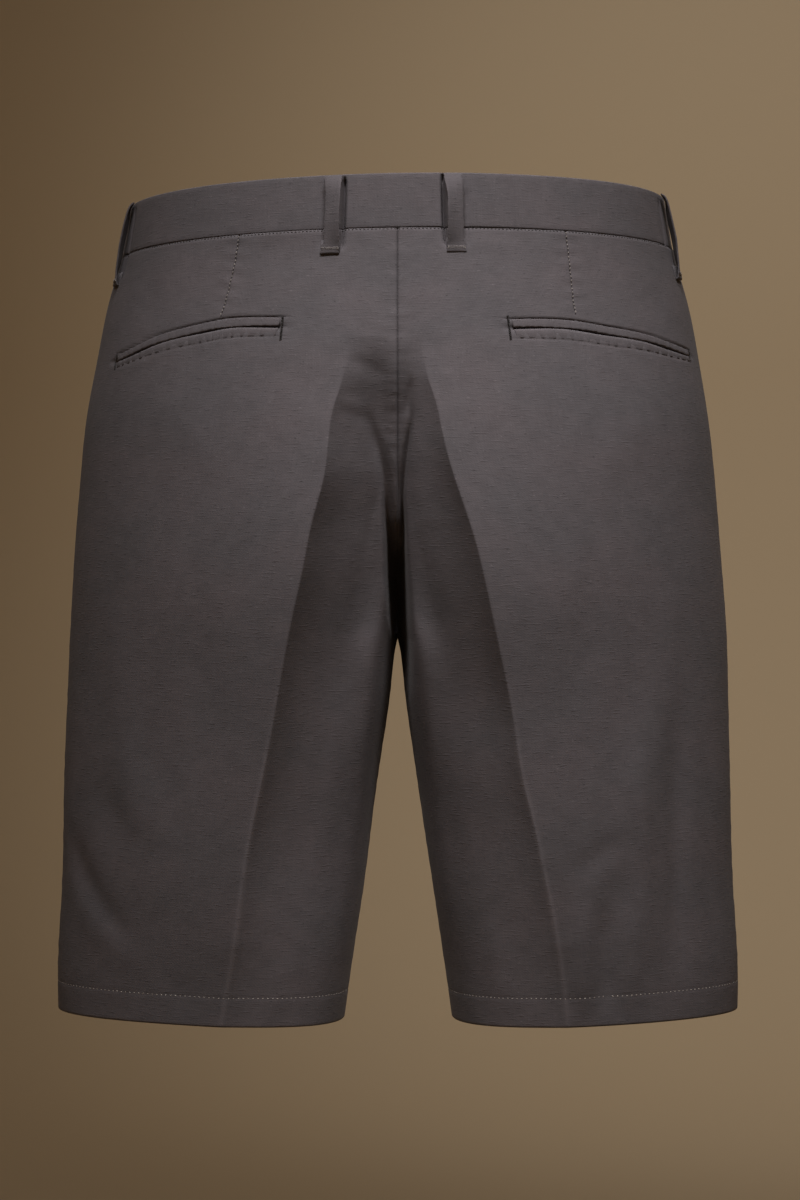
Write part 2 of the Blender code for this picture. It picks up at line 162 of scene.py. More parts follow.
# Between the legs the centre seam is drawn deep into a cleft: drop and depth. Its wall on the
# left and on the right stands off the middle by these widths
CLEFT = ((146, 0.0), (158, 0.7), (170, 2.0), (180, 4.0), (190, 7.5), (200, 13.0), (212, 23.0), (225, 33.0),
         (245, 44.0), (262, 46.0), (284, 42.0), (305, 22.0), (335, 0.0))
CLEFT_WIDTH = {
    1: ((150, 14.0), (160, 11.0), (170, 9.0), (180, 7.9), (190, 7.2), (205, 6.7), (240, 6.0), (262, 4.8),
        (276, 3.3), (300, 3.4), (335, 3.6)),
    -1: ((140, 9.0), (150, 7.6), (160, 6.3), (170, 5.3), (180, 4.4), (190, 3.8), (205, 3.9), (215, 4.4),
         (240, 5.6), (262, 6.9), (276, 7.9), (300, 7.4), (335, 5.4)),
}
CLEFT_EDGE = 4  # how square the cleft's walls are
CLEFT_DELAY = 32 * MM  # the seam itself dives in this much lower than the cleft's sides
CLEFT_DELAY_END = 203 * MM
CLEFT_DELAY_FADE = 28 * MM
CLEFT_SHARE_IN_FRONT = 0.35
CLEFT_FADE = 0.5  # towards the inseam, as a share of the leg's depth
# How far each leg's back stays flat beside the inseam: drop and height over the form, and width
FULLNESS = ((185, 0.0), (215, 1.0), (235, 4.2), (250, 8.6), (262, 13.4), (276, 18.2), (290, 19.2), (310, 17.2),
            (340, 12.2), (370, 8.5), (430, 4.0), (480, 0.0))
FULLNESS_WIDTH = ((235, 9.0), (262, 11.5), (285, 13.0), (310, 12.5), (340, 10.5), (370, 9.0))
FULLNESS_AT = 2.5 * MM  # off the form's edge
FULLNESS_START = 8 * MM  # how softly it follows that edge in above the crotch
FULLNESS_END = 40 * MM  # it dies out towards the inseam
FULLNESS_IN_FRONT = 0.6
SEAM_SHUT_FADE = 30 * MM

# Soft folds, given one by one. Each runs through points (drop, turn); width and height in millimetres,
# a negative height is a trough. Each fades at both ends over a share of its length
Fold = namedtuple("Fold", "width height fade points")
FOLDS = {
    "back_left": (
        # the trailing diagonal low on the leg, a trough with a ridge under it
        Fold(9.0, -1.7, 0.4, ((385, 16), (414, 26), (443, 40), (472, 60))),
        Fold(12, 0.7, 0.45, ((412, 18), (440, 30), (462, 46), (484, 66))),
        Fold(14, -1.3, 0.45, ((352, 30), (392, 46), (430, 66))),
        # the leg's outer face, long and slow
        Fold(17, 1.8, 0.5, ((240, 38), (320, 42), (400, 52), (470, 74))),
        Fold(12, -1.2, 0.5, ((210, 62), (300, 66), (380, 72))),
        Fold(9, -0.5, 0.5, ((470, 68), (490, 74), (511, 77))),
        Fold(7, 0.6, 0.4, ((462, 112), (490, 112), (511, 112))),
        # seat and hip
        Fold(18, 0.9, 0.5, ((118, 40), (150, 55), (190, 66))),
        Fold(10, -0.6, 0.5, ((112, 72), (128, 80), (146, 86))),
        Fold(4.4, -0.55, 0.35, ((112, 85), (113.3, 88.1), (115.7, 90.9), (119.3, 93.8), (124, 96.5))),
        Fold(3.6, 0.1, 0.4, ((119, 86), (121, 89), (125, 92.5), (131, 95.5))),
        Fold(4.2, -0.35, 0.4, ((131, 86.5), (132, 90), (136, 94))),
        Fold(3.6, 0.25, 0.4, ((136, 86.5), (138, 90), (143, 95))),
        Fold(4.6, -0.5, 0.4, ((140.5, 87), (143, 91.2), (147.5, 95.7), (152, 98.6))),
        Fold(14, 0.7, 0.5, ((52, 78), (68, 70), (80, 62))),
        Fold(12, -0.6, 0.5, ((45, 30), (70, 36), (84, 44))),
        # the crotch's pull: drags that leave the fork up and out
        Fold(3.4, -2.2, 0.3, (
            (136, 93.0), (148, 96.2), (159, 98.8), (169.6, 101.6), (179, 104.2), (188.3, 106.6), (198, 109.4),
            (208.7, 112.6), (222, 117))),
        Fold(4.5, 0.3, 0.4, ((160, 97), (178, 100.5), (200, 105))),
        Fold(7, 0.3, 0.45, ((196, 100), (222, 104), (252, 112))),
    ),
    "back_right": (
        # a short diagonal, the flutes above the hem and the trough beside them
        Fold(6, -0.8, 0.4, ((418, 83), (410, 75), (394, 64))),
        Fold(9, 0.5, 0.4, ((434, 82), (422, 72), (402, 60))),
        Fold(6, 1.7, 0.35, ((420, 78), (455, 81), (495, 84), (511, 84))),
        Fold(5, -1.7, 0.35, ((430, 71), (460, 74), (495, 76), (511, 76))),
        Fold(7, 1.6, 0.4, ((424, 62), (460, 65), (495, 67), (511, 67))),
        Fold(9, -2.6, 0.4, ((300, 40), (360, 42), (410, 44), (460, 46), (511, 48))),
        Fold(8, 1.8, 0.4, ((300, 53), (352, 54.5), (400, 56.5), (450, 58.5), (511, 61))),
        Fold(16, 1.6, 0.5, ((230, 40), (310, 46), (380, 58), (430, 70))),
        Fold(12, -1.2, 0.5, ((190, 60), (270, 66), (350, 76))),
        Fold(9, 0.7, 0.4, ((440, 116), (480, 118), (511, 118))),
        # seat and hip
        Fold(16, 0.9, 0.5, ((120, 34), (160, 50), (205, 60))),
        Fold(9, -0.6, 0.45, ((108, 76), (124, 82), (140, 87))),
        Fold(11, -0.6, 0.5, ((48, 26), (70, 32), (84, 40))),
        Fold(14, 0.6, 0.5, ((50, 80), (66, 72), (82, 62))),
        # the crotch's pull
        Fold(1.9, -3.0, 0.3, (
            (134, 97.0), (141.5, 98.2), (150.3, 99.9), (160, 102), (170.7, 104.4), (181, 107), (191, 109.8),
            (200, 112.1), (212, 115.4), (226, 120))),
        Fold(4.5, 0.3, 0.4, ((140, 96.5), (160, 99.5), (184, 103.5), (206, 108))),
        Fold(2.4, -1.2, 0.4, ((119, 94.4), (132.7, 97.3), (147.3, 100.6))),
        Fold(8, 0.3, 0.45, ((205, 101), (235, 105), (268, 114))),
    ),
    # the fronts, listed the same way
    "front_left": (
        Fold(6, -1.6, 0.4, ((168, -108), (196, -112), (232, -122), (262, -138))),
        Fold(9, 1.4, 0.45, ((176, -98), (205, -92), (232, -78), (262, -60))),
        Fold(8, -1.1, 0.45, ((196, -100), (226, -90), (258, -74))),
        Fold(15, 1.1, 0.5, ((90, -30), (140, -44), (200, -58))),
        Fold(10, -1.2, 0.4, ((380, -22), (424, -38), (466, -60))),
        Fold(11, 1.0, 0.4, ((404, -20), (446, -36), (486, -58))),
        Fold(7, 0.8, 0.4, ((440, -114), (480, -116), (511, -116))),
        Fold(12, -0.7, 0.5, ((48, -40), (80, -50), (110, -66))),
    ),
    "front_right": (
        Fold(6, -1.5, 0.4, ((160, -107), (192, -111), (228, -121), (264, -140))),
        Fold(9, 1.2, 0.45, ((186, -99), (210, -92), (246, -76), (270, -56))),
        Fold(7, -1.3, 0.45, ((206, -101), (232, -92), (270, -72))),
        Fold(15, 1.0, 0.5, ((100, -26), (150, -42), (220, -60))),
        Fold(10, -1.1, 0.45, ((352, -44), (410, -50), (476, -56))),
        Fold(8, 0.9, 0.4, ((430, -72), (470, -76), (511, -78))),
        Fold(12, -0.7, 0.5, ((44, -36), (72, -52), (104, -70))),
    ),
}

# Seams that draw the cloth up in small uneven waves: from and to along the line, wave length,
# height on the left and the right, and reach to each side, all in millimetres
Pucker = namedtuple("Pucker", "line start end wave left right reach")
PUCKERS = (
    Pucker("centre_back", 78, 140, 7.4, 0.18, 0.10, 7),
    Pucker("centre_back", 2, 84, 13.0, 0.14, 0.16, 9),
    Pucker("centre_front", 130, 210, 9.0, 0.40, 0.35, 10),
    Pucker("side", 90, 460, 17.0, 0.14, 0.16, 8),
    Pucker("inner_leg", 5, 225, 14.0, 0.08, 0.08, 9),
)

# Slow unevenness that every length of worn cloth has: waves a metre along each axis, and height
Wave = namedtuple("Wave", "x y z height phase")
SLOW_WAVES = (
    Wave(31, 12, 17, 0.30, 0.4),
    Wave(-14, 25, 33, 0.22, 2.0),
    Wave(47, -31, 9, 0.16, 4.1),
    Wave(22, 44, -58, 0.10, 1.2),
    Wave(75, 20, 38, 0.07, 3.3),
    Wave(-52, 61, 71, 0.06, 5.2),
)
BAND_CALM = 12 * MM  # under the waistband the cloth is held
BAND_WAVES = 0.6  # and the band has this share of them

# The two halves meet at the middle, so nothing moves sideways this near it, down to the crotch
MIDDLE_HOLD = 7 * MM
MIDDLE_FADE = 30 * MM
SEAM_DIP = 0.9 * MM  # the cloth rolls in this far at a seam
SEAM_ROLL = 0.95 * MM  # over about this distance
CENTRE_DIP = 1.3 * MM  # the centre back seam's own, on top of that
CENTRE_ROLL = 0.45 * MM
SEAM_STUB = 4.0 * MM  # the turned allowance that shuts the seam from inside
OFF_MIDDLE = 0.05 * MM  # where the halves' cloth stops
DART_DIP = 1.6 * MM
DART_ROLL = 0.55 * MM
DART_FADE = 9 * MM  # towards its point
DART_PUFF = 0.25 * MM  # beside its stitches
DART_PUFF_REACH = 7 * MM

CLOTH_WALL = 0.5 * MM
HEM_FOLD = 0.9 * MM  # radius of the fold at the bottom edge
HEM_TURN = 19.5 * MM  # height of the turned-up layer
HEM_STITCH = 17.8 * MM  # the stitch line's height above the edge
HEM_STEP = 0.05  # millimetres that the doubled cloth below the stitches stands out
HEM_DRAW = 0.10  # millimetres that they draw in
HEM_STUB = 0.7 * MM  # the seams' turned allowance, inside the hem
STUB_START = 0.3
TOP_TUCK = 1.6 * MM  # the top edge turns in this far under the waistband
EDGE_WEAR = 0.55  # how rubbed the bottom edge is
EDGE_WEAR_HEIGHT = 1.6 * MM

# Rows of a panel: from, to and step down the leg, in millimetres
Rows = namedtuple("Rows", "start end step")
PANEL_ROWS = (
    Rows(33.15, 36.0, 0.55),
    Rows(36.0, 83.0, 2.0),
    Rows(83.0, 114.0, 0.65),
    Rows(114.0, 262.0, 1.9),
    Rows(262.0, 272.0, 0.8),
    Rows(272.0, 276.0, 0.22),
    Rows(276.0, 488.0, 2.8),
    Rows(488.0, 498.0, 0.9),
    Rows(498.0, 509.0, 1.8),
)
INNER_COLUMNS = 72
EDGE_COLUMNS = 22  # of those, the ones beside the inner edge
EDGE_STRIP = 5.5 * MM  # which lie within this distance of it across the leg
MIDDLE_COLUMNS = 32
OUTER_COLUMNS = 48
END_TIGHTNESS = 0.85  # columns draw together at seams, creases and darts

# Waistband
BAND_WALL = 2.6 * MM
BAND_ROUND = 1.0 * MM
BAND_STEPS = 420
BAND_PUFF = 0.35 * MM  # between its edges
BAND_WEAR = 0.5  # along its top edge
BAND_WEAR_HEIGHT = 1.2 * MM
BAND_ENDS = ((0.6, 0.45), (0.35, 0.8))  # past each end: how far, of BAND_END, and how thick
BAND_END = 0.9 * MM
LAP_OVER = 20 * MM
LAP_UNDER = 16 * MM
LAP_RAMP = 22 * MM
LAP_GAP = 0.4 * MM

# Belt loops, in millimetres. way: rows down the loop of drop, shift towards the wearer's left,
# stand off the cloth, lean in degrees (its edge nearer the middle seam, or at the sides its back
# edge, stands out), and width
Loop = namedtuple("Loop", "node side turn way")
LOOPS = (
    Loop("belt_loop_back_left", 1, 77.0, (
        (1, -0.3, 0.6, 2, 10.8), (4, -0.4, 3.2, 10, 10.8), (10, -0.8, 5.4, 20, 10.5),
        (18, -0.9, 6.2, 24, 10.2), (27, -0.8, 5.8, 22, 10.0), (34, -0.9, 4.7, 16, 9.8),
        (39.5, -1.1, 3.3, 9, 9.6), (43, -0.7, 2.2, 3, 10.8), (47.0, -0.2, 1.25, 0, 11.6),
    )),
    Loop("belt_loop_back_right", -1, 78.6, (
        (1, 0.7, 0.6, 2, 11.0), (5, 0.7, 3.8, 8, 11.0), (10, 0.5, 5.6, 16, 11.0),
        (13.5, 0.2, 6.2, 22, 11.0), (19, 0.2, 6.6, 24, 10.8), (27, 0.4, 6.0, 22, 10.5),
        (34, 0.5, 4.8, 16, 10.2), (39.5, 0.6, 3.3, 9, 9.9), (43, 0.5, 2.2, 3, 11.0),
        (47.0, 0.6, 1.5, 0, 11.8),
    )),
    Loop("belt_loop_side_left", 1, 13.5, (
        (1, 0.0, 0.9, 6, 10.2), (4, 0.0, 2.6, 16, 10.2), (11, -0.3, 3.4, 26, 10.0),
        (20, 0.2, 3.8, 28, 10.2), (29, 0.5, 3.8, 28, 10.2), (38, 0.3, 3.3, 25, 10.0),
        (46, 0.1, 2.8, 16, 10.0), (52.5, 0.0, 1.6, 3, 11.0),
    )),
    Loop("belt_loop_side_right", -1, 13.5, (
        (1, 0.0, 0.9, 6, 10.2), (4, 0.1, 2.8, 16, 10.2), (11, 0.3, 3.5, 25, 10.0),
        (21, -0.1, 3.9, 28, 10.2), (30, -0.4, 4.0, 28, 10.2), (39, -0.1, 3.2, 24, 10.0),
        (47, 0.2, 2.6, 14, 10.0), (52.5, 0.3, 1.6, 3, 11.0),
    )),
    Loop("belt_loop_front_left", 1, -69.0, (
        (1, 0.0, 0.6, 2, 10.4), (4, 0.2, 3.4, 6, 10.2), (12, 0.4, 6.4, 10, 9.8),
        (20, 0.0, 7.2, 8, 9.6), (29, -0.5, 6.6, 2, 9.4), (36, -0.2, 4.2, -2, 9.2),
        (40, 0.1, 2.2, 0, 9.2), (47.2, 0.2, 1.5, 0, 11.2),
    )),
    Loop("belt_loop_front_right", -1, -69.0, (
        (1, 0.0, 0.6, 2, 10.4), (4, -0.2, 3.6, -3, 10.2), (12, -0.5, 6.6, -6, 9.8),
        (20, 0.1, 7.4, 4, 9.6), (29, 0.7, 6.8, 9, 9.4), (36, 0.5, 4.4, 5, 9.2), (40, 0.1, 2.2, 2, 9.2),
        (47.2, -0.2, 1.5, 0, 11.2),
    )),
)
LOOP_WALL = 1.1 * MM
# Beside the loops' inner edges the cloth is pressed in: shift from the loop's turn towards the
# middle seam, depth, width and the drops it runs between, in millimetres
Dent = namedtuple("Dent", "side turn shift depth width start end")
DENTS = (
    Dent(1, 77.0, 6.6, 4.4, 1.2, 1, 46),
    Dent(-1, 78.6, 6.4, 4.4, 1.2, -1, 45),
    Dent(1, 77.0, -6.3, 0.7, 1.6, 8, 46),
    Dent(-1, 78.6, -6.9, 0.8, 1.8, 10, 46),
    Dent(1, 13.5, 5.4, 1.9, 1.3, 3, 50),
    Dent(-1, 13.5, 5.4, 1.9, 1.3, 3, 50),
    Dent(1, -69.0, -6.4, 1.6, 1.25, 2, 44),
    Dent(-1, -69.0, -6.4, 1.6, 1.25, 2, 44),
)
DENT_STEP = 0.45 * MM
DENT_FADE = 4 * MM
LOOP_TUCK = 7.5 * MM  # the lower end is folded under by this much
LOOP_FOLD = 0.72  # radius of that fold, in millimetres
LOOP_END = (0.97, 0.55)  # width and wall of its cut ends
LOOP_STEPS = 64

# Back pockets: the mouth's line, and how wide the welts above and below it are along the line
Pocket = namedtuple("Pocket", "place side mouth above below")
POCKETS = (
    Pocket(
        "left",
        1,
        ((91.2, 69.8), (90.3, 62), (91.0, 56.8), (93.1, 51.4), (97.1, 41.7), (102.4, 33.3), (106.0, 26.2)),
        (5.9, 6.0, 6.2, 6.0, 5.6, 5.0, 4.6),
        (5.8, 6.4, 6.8, 6.8, 6.4, 5.4, 4.4),
    ),
    Pocket(
        "right",
        -1,
        ((93.0, 70.6), (92.2, 63), (92.8, 56), (94.7, 48.9), (96.9, 38.7), (100.2, 29.2), (102.6, 18.6)),
        (5.4, 5.5, 5.6, 5.4, 5.0, 4.6, 4.0),
        (6.2, 6.8, 7.0, 6.8, 6.0, 5.0, 3.4),
    ),
)
WELT_STEPS = 150
WELT_GAP = 0.5 * MM  # half the mouth's opening
WELT_TICK = 0.20 * MM  # how far its stitches draw it
WELT_WEAR = (0.0, 0.6, 1.0, 0.8, 0.3)  # over its folded edge
MOUTH_DEPTH = 3.4 * MM  # the cloth falls away this far behind the mouth
MOUTH_REACH = 1.9 * MM
DITCHES = {"above": 1.4 * MM, "below": 0.3 * MM}  # round the welts
DITCH_REACH = 0.6 * MM
WELT_PUCKER = 0.10 * MM
WELT_PUCKER_REACH = 6 * MM

# The stitch line that holds the fly's facing: drop and distance from the middle, millimetres
FLY_LINE = ((34, 37), (70, 36), (110, 35), (134, 31), (150, 22), (160, 9), (163, 1.2))
SHIELD_DROPS = (34 * MM, 172 * MM)
SHIELD_OUTS = (-22 * MM, 16 * MM)
SHIELD_BEHIND = 2.3 * MM
SHIELD_WALL = 0.9 * MM

# Thread
THREAD = 0.42 * MM
STITCH_PITCH = 2.7 * MM
STITCH_LIFT = 0.36 * MM
STITCH_SEED = 7
BARTACK_PITCH = 0.34 * MM
# Bars across the ends of each pocket's mouth, from and to as (drop, turn)
POCKET_BARS = {
    "left": (((85.0, 70.2), (99.6, 71.2)), ((100.6, 25.4), (110.8, 25.9))),
    "right": (((85.6, 71.2), (100.0, 72.0)), ((97.8, 18.0), (105.4, 18.6))),
}

# Button: how far to the wearer's right of the middle, its drop, its eyes' distance from its centre
# and the height of its well above the waistband; the buttonhole runs on from it towards the lap
BUTTON_OUT = 7 * MM
BUTTON_DROP = 17 * MM
EYE_OUT = 1.9 * MM
BUTTON_WELL = 2.5 * MM
HOLE_LENGTH = 19 * MM
HOLE_WIDTH = 3.0 * MM
HOLE_PITCH = 0.42 * MM
THREAD_APART = 0.24 * MM
EYE_DEPTH = 1.6 * MM
STRAND_RISE = 0.35 * MM  # of the strands' middle over the well
HOLE_LIP = 0.15 * MM  # where the close stitches turn at the slit

# Flat cloth that shows, in metres and square metres
Cut = namedtuple("Cut", "width length area")


# ---------------------------------------------------------------------------------------------
# The form
# ---------------------------------------------------------------------------------------------
def smooth(t):
    """0 below 0, 1 above 1, and an S curve between."""
    t = np.clip(t, 0.0, 1.0)
    return t * t * (3 - 2 * t)


def bell(distance, width):
    """1 at no distance, and falls away softly over about this width."""
    return np.exp(-((distance / width) ** 2))


def spline_bends(knots, values):
    """Second derivatives, at the knots, of the natural cubic spline through the values."""
    step = np.diff(knots)
    slope = np.diff(values) / step
    count = len(knots)
    matrix = np.eye(count)
    right = np.zeros(count)
    for i in range(1, count - 1):
        matrix[i, i - 1 : i + 2] = step[i - 1], 2 * (step[i - 1] + step[i]), step[i]
        right[i] = 6 * (slope[i] - slope[i - 1])
    return np.linalg.solve(matrix, right)


def spline(knots, values, bends, at):
    """A natural cubic spline through the values, whose bends spline_bends gives."""
    at = np.asarray(at, dtype=float)
    i = np.clip(np.searchsorted(knots, at) - 1, 0, len(knots) - 2)
    step = knots[i + 1] - knots[i]
    past, left = (at - knots[i]) / step, (knots[i + 1] - at) / step
    line = values[i] * left + values[i + 1] * past
    return line + ((left**3 - left) * bends[i] + (past**3 - past) * bends[i + 1]) * step**2 / 6


def table_curve(rows, at):
    """A smooth curve through (position, value) rows, held level past both ends."""
    knots, values = np.array(rows, dtype=float).T
    return spline(knots, values, spline_bends(knots, values), np.clip(at, knots[0], knots[-1]))


def through(rows, count):
    """Smooth curves through each column of the rows, read at so many even steps."""
    rows = np.array(rows, dtype=float)
    knots = np.arange(len(rows), dtype=float)
    at = np.linspace(0, len(rows) - 1, count)
    return [spline(knots, column, spline_bends(knots, column), at) for column in rows.T]


def section_column(name):
    return np.array([getattr(row, name) for row in SECTIONS]) * MM


DROPS = section_column("drop")
CURVES = {name: (section_column(name), spline_bends(DROPS, section_column(name))) for name in Section._fields}


def section_value(name, drop):
    values, bends = CURVES[name]
    return spline(DROPS, values, bends, drop)


def form(drop, turn, side=1):
    """Points of the form before its crease and folds, one for each drop and turn."""
    drop, turn = np.broadcast_arrays(np.asarray(drop, dtype=float), turn)
    outer, inner = section_value("side", drop), section_value("inner", drop)
    across, along = np.cos(turn), np.sin(turn)
    behind = along >= 0
    depth = np.where(behind, section_value("back", drop), section_value("front", drop))
    crest = np.where(behind, section_value("crest_back", drop), section_value("crest_front", drop))
    middle = (outer + inner) / 2
    x = middle + (outer - inner) / 2 * across - (middle - crest) * along**2
    set_back = LEG_SET_BACK * smooth((drop - LEG_SET_FROM) / (OUTSEAM - LEG_SET_FROM))
    y = (depth - section_value("crease", drop)) * along + set_back
    waist = smooth(1 - drop / WAIST_FADE)
    hem = smooth((drop - OUTSEAM) / HEM_FADE + 1)
    z = BAND_HEIGHT / 2 - drop - waist * (FRONT_DIP * (1 - along) / 2 + WAIST_ROLL * side * across)
    return np.stack((side * x, y, z + hem * HEM_TILT * across), axis=-1)


def outward(drop, turn, side=1):
    """Unit normals of the form, pointing out of the garment."""
    round_leg = form(drop, turn + NUDGE, side) - form(drop, turn - NUDGE, side)
    upwards = form(drop - NUDGE, turn, side) - form(drop + NUDGE, turn, side)
    normal = side * np.cross(round_leg, upwards)
    return normal / np.linalg.norm(normal, axis=-1, keepdims=True)


def line_on_form(points, side, count=60):
    """A smooth line on the form through (drop, turn) points."""
    drop, turn = through(points, count)
    return form(drop * MM, np.radians(turn), side)


def near_line(points, line):
    """Each point's distance from a line through corners, and how far along it the nearest place is."""
    flat = points.reshape(-1, 3)
    best = np.full(len(flat), np.inf)
    place = np.zeros(len(flat))
    run = 0.0
    for start, end in zip(line[:-1], line[1:]):
        edge = end - start
        length = float(np.linalg.norm(edge))
        share = np.clip((flat - start) @ edge / max(length * length, 1e-12), 0.0, 1.0)
        gap = np.linalg.norm(flat - start - share[:, None] * edge, axis=1)
        nearer = gap < best
        best[nearer] = gap[nearer]
        place[nearer] = run + share[nearer] * length
        run += length
    return best.reshape(points.shape[:-1]), place.reshape(points.shape[:-1]), run


def crease_turn(panel, drop):
    return np.radians(table_curve(CREASES[panel.name], np.asarray(drop) / MM))


def dart_turn(panel, drop):
    return np.radians(from_table(DARTS[panel.name], drop))


def level_line(turn, first, last, side, count=60):
    return form(np.linspace(first, last, count), turn, side)


@lru_cache
def crease_line(panel):
    drops = np.linspace(BAND_HEIGHT, OUTSEAM, 80)
    return form(drops, crease_turn(panel, drops), panel.side)


@lru_cache
def inner_leg_line(panel):
    return level_line(INNER_LEG, CROTCH_DROP, OUTSEAM, panel.side, 16)


def from_table(rows, drop):
    return np.interp(np.asarray(drop) / MM, [row[0] for row in rows], [row[1] for row in rows])


def inside_crease(panel, drop, turn):
    return np.abs(turn) > np.abs(crease_turn(panel, drop))


def seam_shut(drop, out, reach):
    """1 close to the centre seam above the crotch, where the two halves have to agree."""
    return smooth((CROTCH_DROP - drop) / SEAM_SHUT_FADE) * bell(out, reach)


def crease_relief(panel, drop, turn, points):
    """The pressed crease: a ridge with a fine edge, and how pale each place is drawn along it, partly as wear
    and partly as a painted highlight.
    """
    gap, _, _ = near_line(points, crease_line(panel))
    rounded = np.sqrt(gap**2 + CREASE_ROUND**2) - CREASE_ROUND
    reach = np.where(inside_crease(panel, drop, turn), CREASE_REACH_IN, CREASE_REACH_OUT)
    strength = from_table(CREASE_STRENGTH[panel.name], drop)
    height = section_value("crease", np.clip(drop, 0, OUTSEAM)) * strength
    shut = seam_shut(drop, points[..., 0], CREASE_SHUT)
    # pressed: the paler line along the crease, partly wear from pressing and partly a painted highlight where
    # the ridge catches the light
    pressed = from_table(CREASE_WEAR_AND_HIGHLIGHT, drop) * bell(gap, CREASE_WEAR_AND_HIGHLIGHT_WIDTH)
    return height * np.exp(-rounded / reach) * (1 - shut), pressed


def hollow_relief(panel, drop, turn, points):
    """The cloth sinks in beside the crease, towards the inner leg."""
    crease_out = np.abs(form(drop, crease_turn(panel, drop), panel.side)[..., 0])
    inside = crease_out - points[..., 0] * panel.side
    reach = np.minimum(HOLLOW_REACH, 0.8 * crease_out)
    depth = table_curve(HOLLOW[panel.behind], np.asarray(drop) / MM) * MM
    share = (1 - np.exp(-HOLLOW_STEEP * inside / reach)) / (1 - math.exp(-HOLLOW_STEEP))
    share = np.minimum(share, 1.0 + 0.1 * (share - 1.0)) * inside_crease(panel, drop, turn)
    shut = seam_shut(drop, points[..., 0], HOLLOW_SHUT)
    share = share * HOLLOW_SHARE[panel.side] * (1 - shut) + from_table(HOLLOW_AT_SEAM, drop) * shut
    inner_gap, _, _ = near_line(points, inner_leg_line(panel))
    return -depth * share * smooth(inner_gap / HOLLOW_RISE)


def fullness(panel, drop, turn, points):
    """Beside the inseam the pressed leg keeps its flat back and then turns in sharply."""
    inner = section_value("inner", drop)
    edge = (inner + np.sqrt(inner**2 + FULLNESS_START**2)) / 2  # 0 well above the crotch
    gap = np.abs(points[..., 0]) - edge
    height = table_curve(FULLNESS, np.asarray(drop) / MM) * MM * (1.0 if panel.behind else FULLNESS_IN_FRONT)
    width = table_curve(FULLNESS_WIDTH, np.asarray(drop) / MM) * MM
    off_inseam = smooth(np.abs(points[..., 1]) / FULLNESS_END)
    return height * bell(gap - FULLNESS_AT, width) * inside_crease(panel, drop, turn) * off_inseam


def cleft_depth(panel, drop, turn, points):
    """How far the cleft between the legs draws each place in from the back or front."""
    width = from_table(CLEFT_WIDTH[panel.side], drop) * MM
    across = np.abs(points[..., 0]) / width
    early = 1 - smooth((drop - CLEFT_DELAY_END) / CLEFT_DELAY_FADE)
    delay = CLEFT_DELAY * (1 - np.minimum(across, 1.0)) * early
    depth = from_table(CLEFT, drop - delay) * MM * (1.0 if panel.behind else CLEFT_SHARE_IN_FRONT)
    wall = np.exp(-(across**CLEFT_EDGE))
    return depth * wall * smooth(np.abs(np.sin(turn)) / CLEFT_FADE)


@lru_cache
def fold_line(fold, side):
    return line_on_form(fold.points, side, 14)


def fold_relief(panel, points):
    total = np.zeros(points.shape[:-1])
    for fold in FOLDS[panel.name]:
        gap, place, run = near_line(points, fold_line(fold, panel.side))
        ends = smooth(place / (fold.fade * run)) * smooth((run - place) / (fold.fade * run))
        total += fold.height * MM * ends * bell(gap, fold.width * MM)
    return total


@lru_cache
def seam_lines(panel):
    """The panel's long seams, as lines through points."""
    turn = BACK if panel.behind else -BACK
    centre = "centre_back" if panel.behind else "centre_front"
    drops = np.linspace(BAND_HEIGHT, CROTCH_DROP, 50)
    middle = np.array([form(d, centre_turn(d, panel.behind), panel.side) for d in drops])
    return {
        centre: middle,
        "side": level_line(0.0, BAND_HEIGHT, OUTSEAM, panel.side, 30),
        "inner_leg": level_line(turn * 2, CROTCH_DROP, OUTSEAM, panel.side, 16),
    }


def seam_relief(panel, points):
    """The roll into each seam and the small waves along it."""
    total = np.zeros(points.shape[:-1])
    for name, line in seam_lines(panel).items():
        gap, place, _ = near_line(points, line)
        total -= SEAM_DIP * bell(gap, SEAM_ROLL)
        if name == "centre_back":
            total -= CENTRE_DIP * bell(gap, CENTRE_ROLL)
        down = place / MM
        for pucker in (p for p in PUCKERS if p.line == name):
            on = smooth((down - pucker.start) / 12) * smooth((pucker.end - down) / 12)
            phase = down / pucker.wave * 2 * math.pi
            wave = np.sin(phase + 1.3 * np.sin(phase * 0.31 + 0.7)) + 0.5 * np.sin(phase * 1.73 + 2.1)
            reach = pucker.reach * (1 + 0.35 * np.sin(phase * 0.43 + panel.side))
            height = pucker.left if panel.side == 1 else pucker.right
            total += height * MM * on * wave * bell(gap / MM, reach)
    return total


def small_relief(points, side):
    """The slow waves at each point, a little different on the two sides."""
    x, y, z = points[..., 0] * side, points[..., 1], points[..., 2]
    total = np.zeros(x.shape)
    for wave in SLOW_WAVES:
        total += wave.height * MM * np.sin(wave.x * x + wave.y * y + wave.z * z + wave.phase + side)
    return total


def pocket_rows(pocket, edge):
    """(drop, turn) rows of the mouth, or of the outer edge of the welt above it or below it."""
    rows = np.array(pocket.mouth, dtype=float)
    rows[:, 0] += {"mouth": 0.0, "above": -np.array(pocket.above), "below": np.array(pocket.below)}[edge]
    return rows


@lru_cache
def pocket_line(pocket, edge):
    return line_on_form(pocket_rows(pocket, edge), pocket.side, 40)


@lru_cache
def dent_line(dent):
    drop, turn = (dent.start + dent.end) / 2 * MM, math.radians(dent.turn)
    ahead, behind = form(drop, turn + NUDGE, dent.side), form(drop, turn - NUDGE, dent.side)
    shift = dent.shift * MM * 2 * NUDGE / float(np.linalg.norm(ahead - behind))
    return level_line(turn + shift, dent.start * MM, dent.end * MM, dent.side, 8)


def dent_relief(points, side):
    total = np.zeros(points.shape[:-1])
    for dent in DENTS:
        if dent.side == side:
            gap, place, run = near_line(points, dent_line(dent))
            ends = smooth(place / DENT_FADE) * smooth((run - place) / DENT_FADE)
            total -= dent.depth * MM * ends * bell(gap, dent.width * MM)
    return total


